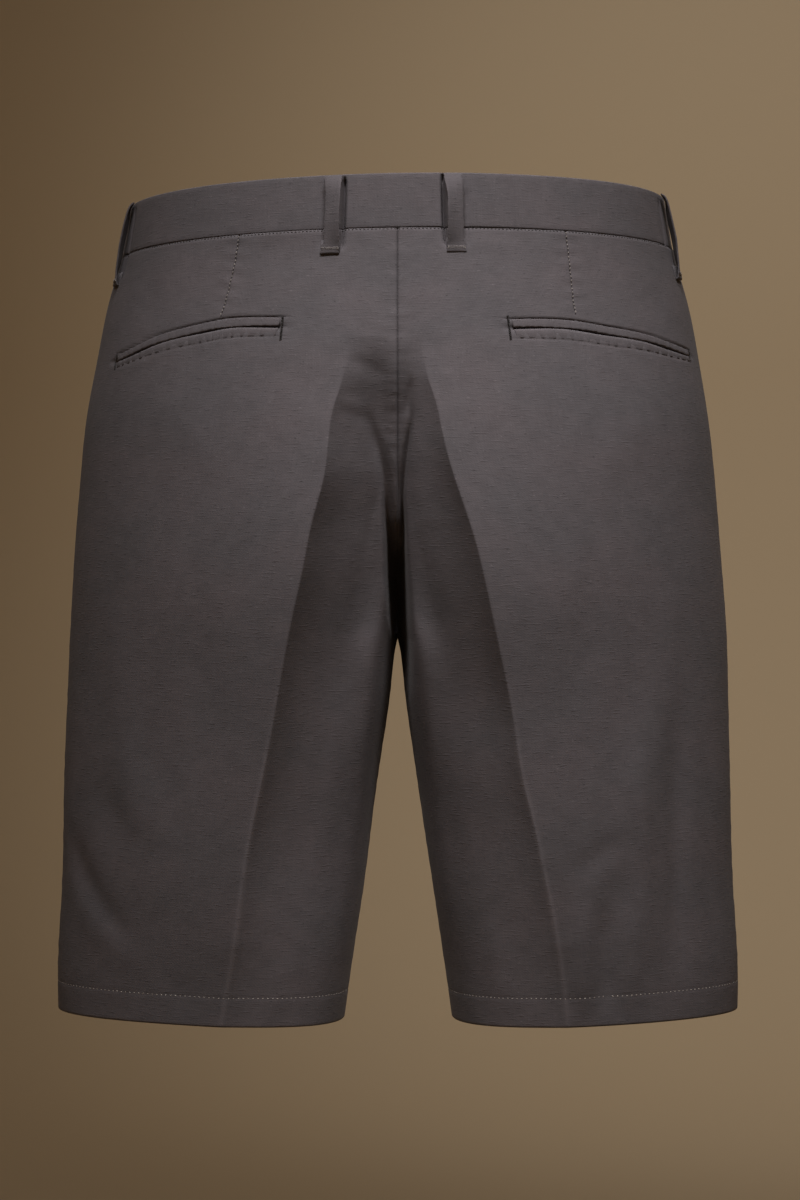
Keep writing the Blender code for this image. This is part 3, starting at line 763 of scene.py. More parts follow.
def pocket_relief(panel, points):
    """The cloth falls away behind a pocket's mouth, and a ditch runs round the welts."""
    total = np.zeros(points.shape[:-1])
    for pocket in POCKETS:
        if not panel.behind or pocket.side != panel.side:
            continue
        gap, _, _ = near_line(points, pocket_line(pocket, "mouth"))
        total -= MOUTH_DEPTH * bell(gap, MOUTH_REACH)
        for edge, depth in DITCHES.items():
            gap, place, _ = near_line(points, pocket_line(pocket, edge))
            wave = np.sin(place / MM * 1.25 + pocket.side) + 0.7 * np.sin(place / MM * 0.57)
            total += WELT_PUCKER * wave * bell(gap, WELT_PUCKER_REACH) - depth * bell(gap, DITCH_REACH)
    return total


def dart_relief(panel, points):
    """A dart's fine valley, with small puffs beside its stitches."""
    if not panel.behind:
        return np.zeros(points.shape[:-1])
    drops = np.linspace(BAND_HEIGHT, DART_END, 30)
    gap, place, run = near_line(points, form(drops, dart_turn(panel, drops), panel.side))
    deep = smooth((run - place) / DART_FADE + 0.2)
    puff = DART_PUFF * bell(gap, DART_PUFF_REACH) * np.sin(place / MM * 0.7)
    return (puff - DART_DIP * bell(gap, DART_ROLL)) * deep


def hem_relief(drop):
    """The stitch line draws in, and the turned-up layer's end shows as a faint step."""
    above = (OUTSEAM - HEM_STITCH - drop) / MM
    return MM * (HEM_STEP * smooth(-above / 1.5) - HEM_DRAW * bell(above, 1.2))


def skin(panel, drop, turn, inset=0.0, pockets=True):
    """Points of a panel's outer face, or under it by inset, and how pale each place is drawn along the crease:
    wear from pressing and a painted highlight.
    """
    drop, turn = np.broadcast_arrays(np.asarray(drop, dtype=float), turn)
    points = form(drop, turn, panel.side)
    ridge, pressed = crease_relief(panel, drop, turn, points)
    height = ridge + fold_relief(panel, points) + seam_relief(panel, points)
    height += small_relief(points, panel.side) * smooth((drop - BAND_HEIGHT) / BAND_CALM)
    height += dart_relief(panel, points) + hem_relief(drop) + dent_relief(points, panel.side)
    if pockets:
        height += pocket_relief(panel, points)
    height -= SEAM_DIP * bell(drop - BAND_HEIGHT, SEAM_ROLL)
    placed = points + outward(drop, turn, panel.side) * (height - inset)[..., None]
    free = smooth(np.abs(points[..., 0]) / MIDDLE_HOLD)
    free = 1 - (1 - free) * (1 - smooth((drop - CROTCH_DROP) / MIDDLE_FADE))
    placed[..., 0] = points[..., 0] + (placed[..., 0] - points[..., 0]) * free
    depth = hollow_relief(panel, drop, turn, points) + fullness(panel, drop, turn, points)
    placed[..., 1] += (depth - cleft_depth(panel, drop, turn, points)) * (1 if panel.behind else -1)
    return placed, pressed


# ---------------------------------------------------------------------------------------------
# Meshes
# ---------------------------------------------------------------------------------------------
def eased(count):
    """Shares from 0 to 1 that draw together at both ends."""
    t = np.linspace(0.0, 1.0, count + 1)
    return t - END_TIGHTNESS * np.sin(2 * math.pi * t) / (2 * math.pi)


def spread(drop, first, last, count):
    """Turns from first to last, spaced by eased lengths of the form's edge at this drop."""
    turns = np.linspace(first, last, FINE_STEPS)
    run = lengths_along(form(drop, turns), 0)
    return np.interp(run[-1] * eased(count), run, turns)


def turn_at(drop, out, behind):
    """The turn where the form lies this far out from the body's middle."""
    turns = np.linspace(0.0, INNER_LEG, FINE_STEPS) * (1 if behind else -1)
    return float(np.interp(-out, -form(drop, turns)[:, 0], turns))


def centre_turn(drop, behind):
    """Where a panel ends inwards: the centre seam, or below the crotch the inseam."""
    if drop >= CROTCH_DROP:
        return INNER_LEG if behind else -INNER_LEG
    return turn_at(drop, 0.0, behind)


def panel_turns(panel, drop):
    """Turns of a row's columns, from the inner edge by the crease and the dart to the side."""
    inner = centre_turn(drop, panel.behind)
    edge = max(float(form(drop, inner)[0]), 0.0)
    strip = turn_at(drop, edge + EDGE_STRIP, panel.behind)
    crease, dart = float(crease_turn(panel, drop)), float(dart_turn(panel, drop))
    parts = (
        spread(drop, inner, strip, EDGE_COLUMNS),
        spread(drop, strip, crease, INNER_COLUMNS - EDGE_COLUMNS),
        spread(drop, crease, dart, MIDDLE_COLUMNS),
        spread(drop, dart, 0.0, OUTER_COLUMNS),
    )
    return np.concatenate([parts[0]] + [part[1:] for part in parts[1:]])


def panel_rows():
    """(drop, inset, turned): rows down the outside, round the bottom fold and up the inside."""
    rows = []
    for part in PANEL_ROWS:
        count = max(1, round((part.end - part.start) / part.step))
        rows += [(drop * MM, 0.0, False) for drop in np.linspace(part.start, part.end, count + 1)[:-1]]
    rows.append((OUTSEAM - 2 * MM, 0.0, False))
    for bend in np.linspace(0.0, math.pi, 8):
        drop = OUTSEAM - HEM_FOLD + HEM_FOLD * math.sin(bend)
        rows.append((drop, HEM_FOLD * (1 - math.cos(bend)), bend > BACK))
    for up in np.linspace(3 * MM, HEM_TURN, 8):
        rows.append((OUTSEAM - up, 2 * HEM_FOLD, True))
    return rows


def link(name, data):
    """An object with this data, in the scene."""
    holder = bpy.data.objects.new(name, data)
    bpy.context.scene.collection.objects.link(holder)
    return holder


def add_mesh(name, points, faces, material, uvs, wear):
    """An object at the origin from a grid of points, with a UV in metres and, for each point, how much paler it
    is drawn: rubbed wear, and on the creases a painted highlight as well.
    """
    mesh = bpy.data.meshes.new(name)
    mesh.from_pydata(points.reshape(-1, 3).tolist(), [], [tuple(map(int, face)) for face in faces])
    layer = mesh.uv_layers.new(name="cloth")
    corner = np.empty(len(mesh.loops), dtype=np.int32)
    mesh.loops.foreach_get("vertex_index", corner)
    layer.data.foreach_set("uv", uvs.reshape(-1, 2).astype(np.float32)[corner].ravel())
    worn = np.broadcast_to(wear, points.shape[:2]).astype(np.float32)
    mesh.attributes.new("wear", "FLOAT", "POINT").data.foreach_set("value", worn.ravel())
    mesh.materials.append(material)
    mesh.shade_smooth()
    return link(name, mesh)


def grid_faces(rows, columns, flipped, closed=False):
    """Quads between rows of points. A closed grid joins its last column to its first."""
    i = np.arange(rows - 1)[:, None]
    j = np.arange(columns if closed else columns - 1)[None, :]
    k = (j + 1) % columns
    corners = (i * columns + j, i * columns + k, (i + 1) * columns + k, (i + 1) * columns + j)
    faces = np.stack([np.broadcast_to(c, (rows - 1, j.shape[1])) for c in corners], axis=-1).reshape(-1, 4)
    return faces[:, ::-1] if flipped else faces


def lengths_along(points, axis):
    steps = np.linalg.norm(np.diff(points, axis=axis), axis=-1)
    pad = [(0, 0)] * steps.ndim
    pad[axis] = (1, 0)
    return np.pad(np.cumsum(steps, axis=axis), pad)


def finish_piece(piece, node=None):
    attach(piece, "root")
    if node:
        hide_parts(node)


def turn_faces_out(piece):
    bm = bmesh.new()
    bm.from_mesh(piece.data)
    bmesh.ops.recalc_face_normals(bm, faces=bm.faces)
    bm.to_mesh(piece.data)
    bm.free()


def add_wall(piece, thickness, offset):
    wall = piece.modifiers.new("wall", "SOLIDIFY")
    wall.thickness = thickness
    wall.offset = offset


def make_strip(name, node, points, wear, material, run=None):
    """A closed strip from the rings of points along it, capped at both ends. Its grain runs round
    it, or along it where run gives each ring's place."""
    count, around = points.shape[:2]
    faces = list(grid_faces(count, around, False, closed=True))
    faces += [range(around)[::-1], range((count - 1) * around, count * around)]
    girth = lengths_along(points[count // 2], 0)[None, :]
    uv = (lengths_along(points[:, :1], 0), girth) if run is None else (girth, run[:, None])
    piece = add_mesh(name, points, faces, material, np.stack(np.broadcast_arrays(*uv), axis=-1), wear)
    turn_faces_out(piece)
    finish_piece(piece, node)


def make_panel(panel, material):
    """A front or back of folded cloth: outer face, rolled seams, and the hem turned up inside."""
    drop, inset, turned = (np.array(column) for column in zip(*panel_rows()))
    turns = np.array([panel_turns(panel, d) for d in drop])
    points, pressed = skin(panel, drop[:, None], turns, inset[:, None])
    normals = outward(drop[:, None], turns, panel.side)

    # turned allowances at the two long seams shut them from the inside
    depth = np.where(drop > OUTSEAM - HEM_TURN, HEM_STUB, SEAM_STUB)
    depth = np.where(turned, -HEM_STUB, depth)[:, None]
    stubs = []
    for edge, shares in ((0, (1.0, STUB_START)), (-1, (STUB_START, 1.0))):
        stubs.append(np.stack([points[:, edge] - normals[:, edge] * depth * share for share in shares], axis=1))
    points = np.concatenate((stubs[0], points, stubs[1]), axis=1)
    above = drop < CROTCH_DROP
    for column in (0, 1, 2):
        near = np.maximum(points[above, column, 0] * panel.side, OFF_MIDDLE)
        points[above, column, 0] = near * panel.side

    # the top edge turns in under the waistband
    tuck = np.pad(normals[:1], ((0, 0), (2, 2), (0, 0)), mode="edge") * TOP_TUCK
    points = np.concatenate((points[:1] - tuck, points), axis=0)
    # the crease's paler line, partly a painted highlight, and the rubbed bottom edge go into the attribute that
    # pales the cloth
    wear = np.pad(pressed, ((1, 0), (2, 2)))
    hem_edge = np.concatenate(([False], (drop > OUTSEAM - EDGE_WEAR_HEIGHT) & ~turned))
    wear[hem_edge] = np.maximum(wear[hem_edge], EDGE_WEAR)

    crease = 2 + INNER_COLUMNS
    run = lengths_along(points, 1)
    u = run - run[:, crease : crease + 1]
    v = np.broadcast_to(lengths_along(points[:, crease], 0)[:, None], u.shape)
    faces = grid_faces(*points.shape[:2], (panel.side == 1) == panel.behind)
    piece = add_mesh(f"shorts_{panel.name}", points, faces, material, np.stack((u, v), axis=-1), wear)
    add_wall(piece, bpy.context.scene.shorts_sizes.cloth, -1.0)
    finish_piece(piece, panel.name)


def ring(drop, turns, distance):
    """Points right round the waist. Turns past the middle lie on the right half."""
    right = np.cos(turns) < 0
    folded = np.where(right, math.pi - turns, turns)
    halves = []
    for side in (1, -1):
        points = form(drop, folded, side)
        relief = small_relief(points, side) * BAND_WAVES + dent_relief(points, side)
        halves.append(points + outward(drop, folded, side) * (distance + relief)[..., None])
    return np.where(right[..., None], halves[1], halves[0])


def waist_half(drop=BAND_HEIGHT / 2):
    """Half the waist's width, which turns a length round the middle into an angle."""
    return float(section_value("side", drop))


def lap_inset(turn):
    """How far the lower end of the waistband lies under its upper end."""
    past_lap = (FRONT_FROM_RIGHT - turn) * waist_half() - LAP_OVER - LAP_GAP
    return (BAND_WALL + LAP_GAP) * smooth(1 - past_lap / LAP_RAMP)


def band_profile():
    """(drop, inset) round the band's section, from the lower outer edge up and over."""
    r, wall, low = BAND_ROUND, BAND_WALL, BAND_HEIGHT - 0.15 * MM
    top, corner, bottom = (np.radians(angles) for angles in ((22, 45, 68), (30, 60, 90), (0, 30, 60)))
    points = [(drop, 0.0) for drop in np.linspace(low - r, r, 14)]
    points += [(r - r * math.sin(a), r - r * math.cos(a)) for a in top]
    points += [(0.0, wall / 2)]
    points += [(r - r * math.cos(a), wall - r + r * math.sin(a)) for a in top]
    points += [(drop, wall) for drop in np.linspace(r, low - r, 10)]
    points += [(low - r + r * math.sin(a), wall - r + r * math.cos(a)) for a in corner]
    points += [(low - r + r * math.cos(a), r - r * math.sin(a)) for a in bottom]
    return np.array(points)


def make_waistband(material):
    """One folded strip round the waist, whose left end laps over its right end at the front."""
    half = waist_half()
    first, last = -BACK - LAP_OVER / half, FRONT_FROM_RIGHT + LAP_UNDER / half
    turns = [np.linspace(first, last, BAND_STEPS)]
    for dent in DENTS:
        place = math.radians(dent.turn) + dent.shift * MM / half
        place = place if dent.side == 1 else math.pi - place
        turns.append(place + np.arange(-8, 9) * DENT_STEP / half)
    turns = np.unique(np.round(np.concatenate(turns), 5))
    thin = np.ones(len(turns) + 2 * len(BAND_ENDS))
    for i, (past, thickness) in enumerate(BAND_ENDS):
        thin[[i, -1 - i]] = thickness
    past = [share * BAND_END / half for share, _ in BAND_ENDS]
    turns = np.concatenate((first - np.array(past), turns, last + np.array(past[::-1])))

    drop, inset = band_profile().T
    middle = BAND_WALL / 2
    puff = BAND_PUFF * np.sin(math.pi * np.clip(drop / BAND_HEIGHT, 0, 1)) * (inset < middle)
    sections = []
    for turn, thickness in zip(turns, thin):
        shrink = 0.5 * MM * (1 - thickness)
        distance = puff - middle - (inset - middle) * thickness - float(lap_inset(turn))
        sections.append(ring(np.clip(drop, shrink, BAND_HEIGHT - shrink), np.full(len(drop), turn), distance))
    wear = bell(drop, BAND_WEAR_HEIGHT) * BAND_WEAR
    make_strip("shorts_waistband", "waistband", np.array(sections), wear, material)


def strip_section(width, wall, corner=4):
    """(across, up) round a flat strip's section with rounded edges."""
    radius = wall / 2
    flat = np.linspace(-width / 2 + radius, width / 2 - radius, 7)
    bends = np.linspace(-BACK, BACK, corner + 1)[1:-1]
    points = [(x, radius) for x in flat]
    points += [(width / 2 - radius + radius * math.cos(a), -radius * math.sin(a)) for a in bends]
    points += [(x, -radius) for x in flat[::-1]]
    points += [(-width / 2 + radius - radius * math.cos(a), radius * math.sin(a)) for a in bends]
    return np.array(points)


def unit(vectors):
    return vectors / np.linalg.norm(vectors, axis=-1, keepdims=True)


def loop_path(loop):
    """A belt loop's centres down its way, then folded under, with its directions and widths."""
    drop, shift, stand, lean, width = through(loop.way, LOOP_STEPS)
    bend = np.linspace(0, math.pi, 7)[1:]
    tuck = LOOP_TUCK / MM
    drop = np.concatenate((drop, drop[-1] + LOOP_FOLD * np.sin(bend), [drop[-1] - tuck / 2, drop[-1] - tuck]))
    stand = np.concatenate((stand, stand[-1] - LOOP_FOLD * (1 - np.cos(bend)), [0.62, 0.60]))
    stand = np.maximum(stand, 0.3)
    shift, lean, width = (np.pad(v, (0, len(drop) - LOOP_STEPS), mode="edge") for v in (shift, lean, width))
    drop, shift, stand, width = drop * MM, shift * MM, stand * MM, width * MM
    turn = math.radians(loop.turn)
    normal = outward(drop, turn, loop.side)
    round_leg = unit(form(drop, turn + NUDGE, loop.side) - form(drop, turn - NUDGE, loop.side))
    to_left = round_leg * np.sign(round_leg[:, :1])
    centres = form(drop, turn, loop.side) + normal * stand[:, None] + to_left * shift[:, None]
    along = unit(np.gradient(centres, axis=0))
    up = unit(np.cross(along, round_leg))
    up *= np.sign(np.sum(up[: LOOP_STEPS // 2] * normal[: LOOP_STEPS // 2]))
    raised = round_leg * math.copysign(1.0, turn)  # towards the middle seam, or the back at a side
    tilt = np.radians(lean)[:, None]
    across = raised * np.cos(tilt) + up * np.sin(tilt)
    return centres, across, up * np.cos(tilt) - raised * np.sin(tilt), drop, width


def make_loop(loop, material):
    """A belt loop: a flat strip with rounded edges, a little uneven in width, swept down its path."""
    centres, across, up, _, width = loop_path(loop)
    count = len(centres)
    shapes = []
    for i in range(count):
        uneven = 1 + 0.016 * math.sin(i * 0.55 + loop.turn) + 0.012 * math.sin(i * 1.3)
        shapes.append(strip_section(width[i] * uneven, LOOP_WALL))
    edge = np.abs(shapes[count // 2][:, 0])
    wear = smooth((edge - edge.max() + 0.6 * MM) / (0.6 * MM)) * 0.5
    shapes[0], shapes[-1] = shapes[0] * LOOP_END, shapes[-1] * LOOP_END
    shapes = np.array(shapes)
    points = centres[:, None] + shapes[..., :1] * across[:, None] + shapes[..., 1:] * up[:, None]
    name = loop.node.replace("belt_loop", "shorts_loop")
    make_strip(name, loop.node, points, wear, material, lengths_along(centres, 0))


# A welt's section from its folded edge at the mouth to its sewn edge and back underneath, as
# (share of its width, millimetres above the cloth)
WELT_SECTIONS = {
    "upper": ((0.0, -0.8), (-0.03, 0.0), (0.02, 0.4), (0.1, 0.62), (0.28, 0.7), (0.55, 0.66), (0.8, 0.55),
              (0.92, 0.38), (0.98, -0.1), (0.96, -0.7), (0.5, -0.6), (0.1, -1.3)),
    "lower": ((0.0, -1.0), (-0.02, -0.2), (0.02, 0.25), (0.1, 0.5), (0.28, 0.62), (0.55, 0.58), (0.8, 0.45),
              (0.92, 0.3), (0.98, -0.1), (0.96, -0.7), (0.5, -0.6), (0.1, -1.5)),
}


def back_panel(side):
    return PANELS[0] if side == 1 else PANELS[1]


def make_welt(pocket, edge, material):
    """One folded edge of a pocket's mouth, a little uneven where its stitches draw it."""
    widths = pocket.above if edge == "upper" else pocket.below
    drop, turn, width = through(np.column_stack((pocket.mouth, widths)), WELT_STEPS)
    drop, turn, width = drop * MM, np.radians(turn), width * MM
    away = -1 if edge == "upper" else 1
    panel = back_panel(pocket.side)
    run = np.arange(WELT_STEPS)
    tick = WELT_TICK * (np.sin(run * 0.83 + pocket.side) + 0.6 * np.sin(run * 1.37 + 2))
    gap = WELT_GAP * (1 + 0.35 * np.sin(run * 0.11 + 1.0))
    lines = []
    for share, lift in WELT_SECTIONS[edge]:
        place = drop + away * (gap + share * (width - gap))
        points = on_skin(panel, place, turn, pockets=False)
        raised = lift * MM + tick * smooth(lift / 0.4)
        lines.append(points + outward(place, turn, panel.side) * raised[:, None])
    wear = np.pad(WELT_WEAR, (0, len(lines) - len(WELT_WEAR)))
    name = f"{edge}_{pocket.place}"
    points = np.stack(lines, axis=1)
    make_strip(f"shorts_welt_{name}", f"pocket_welt_{name}", points, wear, material)


def make_fly_shield(material):
    """The strip that closes the fly from behind."""
    drops, outs = np.linspace(*SHIELD_DROPS, 50), np.linspace(*SHIELD_OUTS, 16)
    points = np.empty((len(drops), len(outs), 3))
    for i, drop in enumerate(drops):
        for j, out in enumerate(outs):
            side = -1 if out < 0 else 1
            turn = turn_at(drop, max(abs(out), 0.1 * MM), False)
            points[i, j] = form(drop, turn, side) - outward(drop, turn, side) * SHIELD_BEHIND
    points[..., 0] = outs
    uvs = np.stack(np.broadcast_arrays(outs[None, :], drops[:, None]), axis=-1)
    faces = grid_faces(len(drops), len(outs), True)
    piece = add_mesh("shorts_fly_shield", points, faces, material, uvs, 0.0)
    turn_faces_out(piece)
    add_wall(piece, SHIELD_WALL, 0.0)
    finish_piece(piece, "fly_shield")


# ---------------------------------------------------------------------------------------------
# Stitches, as Geometry Nodes along lines
# ---------------------------------------------------------------------------------------------
def add_node(tree, kind, inputs=None, **settings):
    """Adds a node, sets its settings, and links or sets each named or numbered input."""
    made = tree.nodes.new(kind)
    for key, value in settings.items():
        setattr(made, key, value)
    for key, value in (inputs or {}).items():
        socket = made.inputs[key]
        if isinstance(value, bpy.types.NodeSocket):
            tree.links.new(value, socket)
        else:
            socket.default_value = value
    return made


def new_geometry_tree(name, sizes):
    """A modifier tree with the given named sizes, a seed and a thread material as inputs."""
    tree = bpy.data.node_groups.new(name, "GeometryNodeTree")
    tree.is_modifier = True
    tree.interface.new_socket("Lines", in_out="INPUT", socket_type="NodeSocketGeometry")
    for label in sizes:
        socket = tree.interface.new_socket(label, in_out="INPUT", socket_type="NodeSocketFloat")
        socket.subtype = "DISTANCE"
    tree.interface.new_socket("Seed", in_out="INPUT", socket_type="NodeSocketInt")
    tree.interface.new_socket("Thread", in_out="INPUT", socket_type="NodeSocketMaterial")
    tree.interface.new_socket("Stitches", in_out="OUTPUT", socket_type="NodeSocketGeometry")
    group = add_node(tree, "NodeGroupInput").outputs
    return tree, group, add_node(tree, "GeometryNodeMeshToCurve", {0: group["Lines"]}).outputs[0]


def finish_tree(tree, group, thread):
    """Makes the thread real and smooth, dyes it and gives it out."""
    real = add_node(tree, "GeometryNodeRealizeInstances", {0: thread})
    rounded = add_node(tree, "GeometryNodeSetShadeSmooth", {0: real.outputs[0]})
    dye = {"Geometry": rounded.outputs[0], "Material": group["Thread"]}
    add_node(tree, "NodeGroupOutput", {0: add_node(tree, "GeometryNodeSetMaterial", dye).outputs[0]})
    return tree


def running_stitch_tree():
    """Short plump stitches at a steady pitch along each line, a little uneven in length."""
    tree, group, line = new_geometry_tree("running_stitch", ("Pitch", "Length", "Thickness"))
    pitch = {"Curve": line, "Length": group["Pitch"]}
    spots = add_node(tree, "GeometryNodeCurveToPoints", pitch, mode="LENGTH").outputs
    grain = add_node(tree, "GeometryNodeMeshUVSphere", {"Segments": 6, "Rings": 5, "Radius": 0.5})
    uneven = {2: 0.86, 3: 1.08, "Seed": group["Seed"]}
    uneven = add_node(tree, "FunctionNodeRandomValue", uneven, data_type="FLOAT").outputs[1]
    length = add_node(tree, "ShaderNodeMath", {0: group["Length"], 1: uneven}, operation="MULTIPLY")
    thick = group["Thickness"]
    size = add_node(tree, "ShaderNodeCombineXYZ", {0: thick, 1: thick, 2: length.outputs[0]})
    stitch = {"Points": spots["Points"], "Instance": grain.outputs["Mesh"]}
    stitch.update({"Rotation": spots["Rotation"], "Scale": size.outputs[0]})
    return finish_tree(tree, group, add_node(tree, "GeometryNodeInstanceOnPoints", stitch).outputs[0])


def bartack_tree():
    """One thread that follows each line."""
    tree, group, line = new_geometry_tree("bartack", ("Thickness",))
    radius = add_node(tree, "ShaderNodeMath", {0: group["Thickness"], 1: 0.5}, operation="MULTIPLY")
    section = {"Resolution": 6, "Radius": radius.outputs[0]}
    section = add_node(tree, "GeometryNodeCurvePrimitiveCircle", section, mode="RADIUS").outputs[0]
    tube = {"Curve": line, "Profile Curve": section, "Fill Caps": True}
    return finish_tree(tree, group, add_node(tree, "GeometryNodeCurveToMesh", tube).outputs[0])


def sew(name, lines, tree, material, **sizes):
    """Runs a stitch tree along lines of points and keeps the result as one plain mesh."""
    mesh = bpy.data.meshes.new(name)
    points, edges = [], []
    for line in lines:
        edges += [(i, i + 1) for i in range(len(points), len(points) + len(line) - 1)]
        points += [tuple(p) for p in line]
    mesh.from_pydata(points, edges, [])
    guide = link(name + "_guide", mesh)
    modifier = guide.modifiers.new("thread", "NODES")
    modifier.node_group = tree
    sockets = {item.name: item.identifier for item in tree.interface.items_tree if item.in_out == "INPUT"}
    for label, value in {**sizes, "Seed": STITCH_SEED, "Thread": material}.items():
        modifier[sockets[label]] = value
    bpy.context.view_layer.update()
    evaluated = guide.evaluated_get(bpy.context.evaluated_depsgraph_get())
    sewn = bpy.data.meshes.new_from_object(evaluated)
    sewn.name = name
    bpy.data.objects.remove(guide, do_unlink=True)
    if not len(sewn.polygons):
        raise RuntimeError(f"{name}: the stitch tree made nothing")
    finish_piece(link(name, sewn))


def on_skin(panel, drop, turn, lift=0.0, pockets=True):
    return skin(panel, drop, turn, -lift, pockets)[0]


def hem_lines():
    turns = np.radians(np.linspace(0.6, 179.4, 260))
    drop = OUTSEAM - HEM_STITCH
    return [on_skin(panel, drop, turns if panel.behind else -turns, STITCH_LIFT) for panel in HEM_ORDER]


def band_lines():
    """Stitches in the seam under the waistband."""
    turns = np.radians(np.linspace(1, 89.6, 200))
    drop = BAND_HEIGHT + 0.6 * MM
    return [on_skin(panel, drop, turns if panel.behind else -turns, 0.85 * MM) for panel in PANELS]


def dart_lines():
    drops = np.linspace(BAND_HEIGHT + 1 * MM, DART_END - 1 * MM, 40)
    return [on_skin(panel, drops, dart_turn(panel, drops), DART_DIP) for panel in PANELS if panel.behind]


def welt_lines():
    """Stitching in the seams above and below each pocket's welts."""
    lines = []
    for pocket in POCKETS:
        for edge in ("above", "below"):
            drop, turn = through(pocket_rows(pocket, edge), 90)
            lines.append(on_skin(back_panel(pocket.side), drop * MM, np.radians(turn), 0.25 * MM))
    return lines


def fly_lines():
    """The curved line that holds the fly's facing, on the wearer's left of the middle."""
    rows = [(drop, math.degrees(turn_at(drop * MM, out * MM, False))) for drop, out in FLY_LINE]
    drop, turn = through(rows, 120)
    return [on_skin(PANELS[2], drop * MM, np.radians(turn), STITCH_LIFT)]


def zigzag(start, end, up, width, lift):
    """A bartack's thread from start to end, crossing from side to side."""
    length = float(np.linalg.norm(end - start))
    over = unit(np.cross((end - start) / length, up))
    count = max(6, int(length / BARTACK_PITCH))
    step = np.arange(count + 1)[:, None]
    return start + (end - start) * step / count + over * width / 2 * np.where(step % 2, 1, -1) + up * lift


def loop_bartacks():
    """Zigzags across the belt loops' lower ends."""
    lines = []
    for loop in LOOPS:
        centres, across, up, drop, width = loop_path(loop)
        at = int(np.argmin(np.abs(drop[:LOOP_STEPS] - (drop[LOOP_STEPS - 1] - 2.0 * MM))))
        half = across[at] * (width[at] / 2 - 0.6 * MM)
        lift = LOOP_WALL / 2 + 0.10 * MM
        lines.append(zigzag(centres[at] - half, centres[at] + half, up[at], 1.7 * MM, lift))
    return lines


def pocket_bartacks():
    """Zigzags across the ends of the pockets' mouths."""
    lines = []
    for pocket in POCKETS:
        for bar in POCKET_BARS[pocket.place]:
            drop, turn = np.array(bar).T
            drop, turn = drop * MM, np.radians(turn)
            start, end = on_skin(back_panel(pocket.side), drop, turn, 0.5 * MM, pockets=False)
            up = outward(drop.mean(), turn.mean(), pocket.side)
            lines.append(zigzag(start, end, up, 1.3 * MM, 0.2 * MM))
    return lines


def button_frame():
    """The button's seat on the waistband, with directions out, across and up."""
    turn = -BACK - BUTTON_OUT / waist_half(BUTTON_DROP)
    out = outward(BUTTON_DROP, turn)
    across = unit(np.cross((0.0, 0.0, 1.0), out))
    return form(BUTTON_DROP, turn), out, across, np.cross(out, across)


def button_thread_lines():
    """Four strands crossing between the button's eyes, two each way, down through them."""
    seat, out, across, up = button_frame()
    lines = []
    for first, last in ((45, 225), (135, 315)):
        for aside in (-THREAD_APART, THREAD_APART):
            line = []
            for share in np.linspace(-1.0, 1.0, 9):
                turn = math.radians(first if share < 0 else last)
                place = abs(share) * EYE_OUT * (math.cos(turn) * across + math.sin(turn) * up)
                sideways = unit(np.cross(out, place + 1e-9 * across)) * aside * (1 if share < 0 else -1)
                line.append(seat + place + sideways + out * (BUTTON_WELL + STRAND_RISE * (1 - share**2)))
            line = [line[0] - out * EYE_DEPTH, *line, line[-1] - out * EYE_DEPTH]
            lines.append(np.array(line))
    return lines


def buttonhole_lines():
    """Close stitches along both lips of the buttonhole and across its end."""
    half = waist_half(BUTTON_DROP)
    far = HOLE_LENGTH - 4 * MM
    places = np.arange(-4 * MM, far, HOLE_PITCH)
    turns = -BACK - (BUTTON_OUT + places) / half
    lines = []
    for lip in (-1, 1):
        drops = BUTTON_DROP + np.where(np.arange(len(places)) % 2, HOLE_LIP, HOLE_WIDTH / 2) * lip
        lines.append(form(drops, turns) + outward(drops, turns) * 0.45 * MM)
    turn = -BACK - (BUTTON_OUT + far) / half
    low, high = (form(BUTTON_DROP + reach, turn) for reach in (-HOLE_WIDTH / 2, HOLE_WIDTH / 2))
    return [*lines, zigzag(low, high, outward(BUTTON_DROP, turn), 1.6 * MM, 0.5 * MM)]


# ---------------------------------------------------------------------------------------------
# Materials
# ---------------------------------------------------------------------------------------------
def linear(hex_colour):
    """An sRGB hex colour as linear red, green and blue."""
    parts = [int(hex_colour[i : i + 2], 16) / 255 for i in (1, 3, 5)]
    return tuple(c / 12.92 if c <= 0.04045 else ((c + 0.055) / 1.055) ** 2.4 for c in parts)


def new_material(name, colour, roughness, **more):
    """A material whose shader has the given colour, roughness and other inputs by name."""
    material = bpy.data.materials.new(name)
    material.use_nodes = True
    tree = material.node_tree
    shader = tree.nodes["Principled BSDF"]
    for label, value in {"Base Color": (*colour, 1.0), "Roughness": roughness, **more}.items():
        shader.inputs[label].default_value = value
    return material, tree, shader


# The cloth's unevenness: each grain's length and width in metres, and its noise
Grain = namedtuple("Grain", "name long wide detail rough shift")
GRAINS = (
    Grain("weft", 0.0085, 0.0009, 2.0, 0.6, 0.0),
    Grain("warp", 0.0010, 0.0085, 2.0, 0.6, 3.1),
    Grain("slub", 0.0065, 0.0012, 1.0, 0.5, 7.7),
    Grain("fleck", 0.0024, 0.0013, 0.0, 0.5, 5.3),
    Grain("patch", 0.055, 0.040, 3.0, 0.5, 11.0),
    Grain("cloud", 0.012, 0.010, 2.0, 0.5, 13.0),
)
# How they change its shade: between two values of a grain, from one factor to the other
Tone = namedtuple("Tone", "grain low high at_low at_high")
TONES = (
    Tone("weft", 0.25, 0.75, 0.93, 1.07),
    Tone("warp", 0.25, 0.75, 0.95, 1.05),
    Tone("slub", 0.70, 0.82, 1.0, 0.88),
    Tone("slub", 0.18, 0.30, 1.07, 1.0),
    Tone("fleck", 0.82, 0.92, 1.0, 1.3),
    Tone("fleck", 0.10, 0.18, 0.72, 1.0),
    Tone("patch", 0.3, 0.7, 0.96, 1.04),
    Tone("cloud", 0.3, 0.7, 0.95, 1.05),
)
WARM = (1.03, 0.99, 0.985)  # the tint of some patches
YARN = 0.0009  # metres between yarns, drawn coarser than the 0.5 mm that would be too fine to show
YARN_SWAY = 0.002
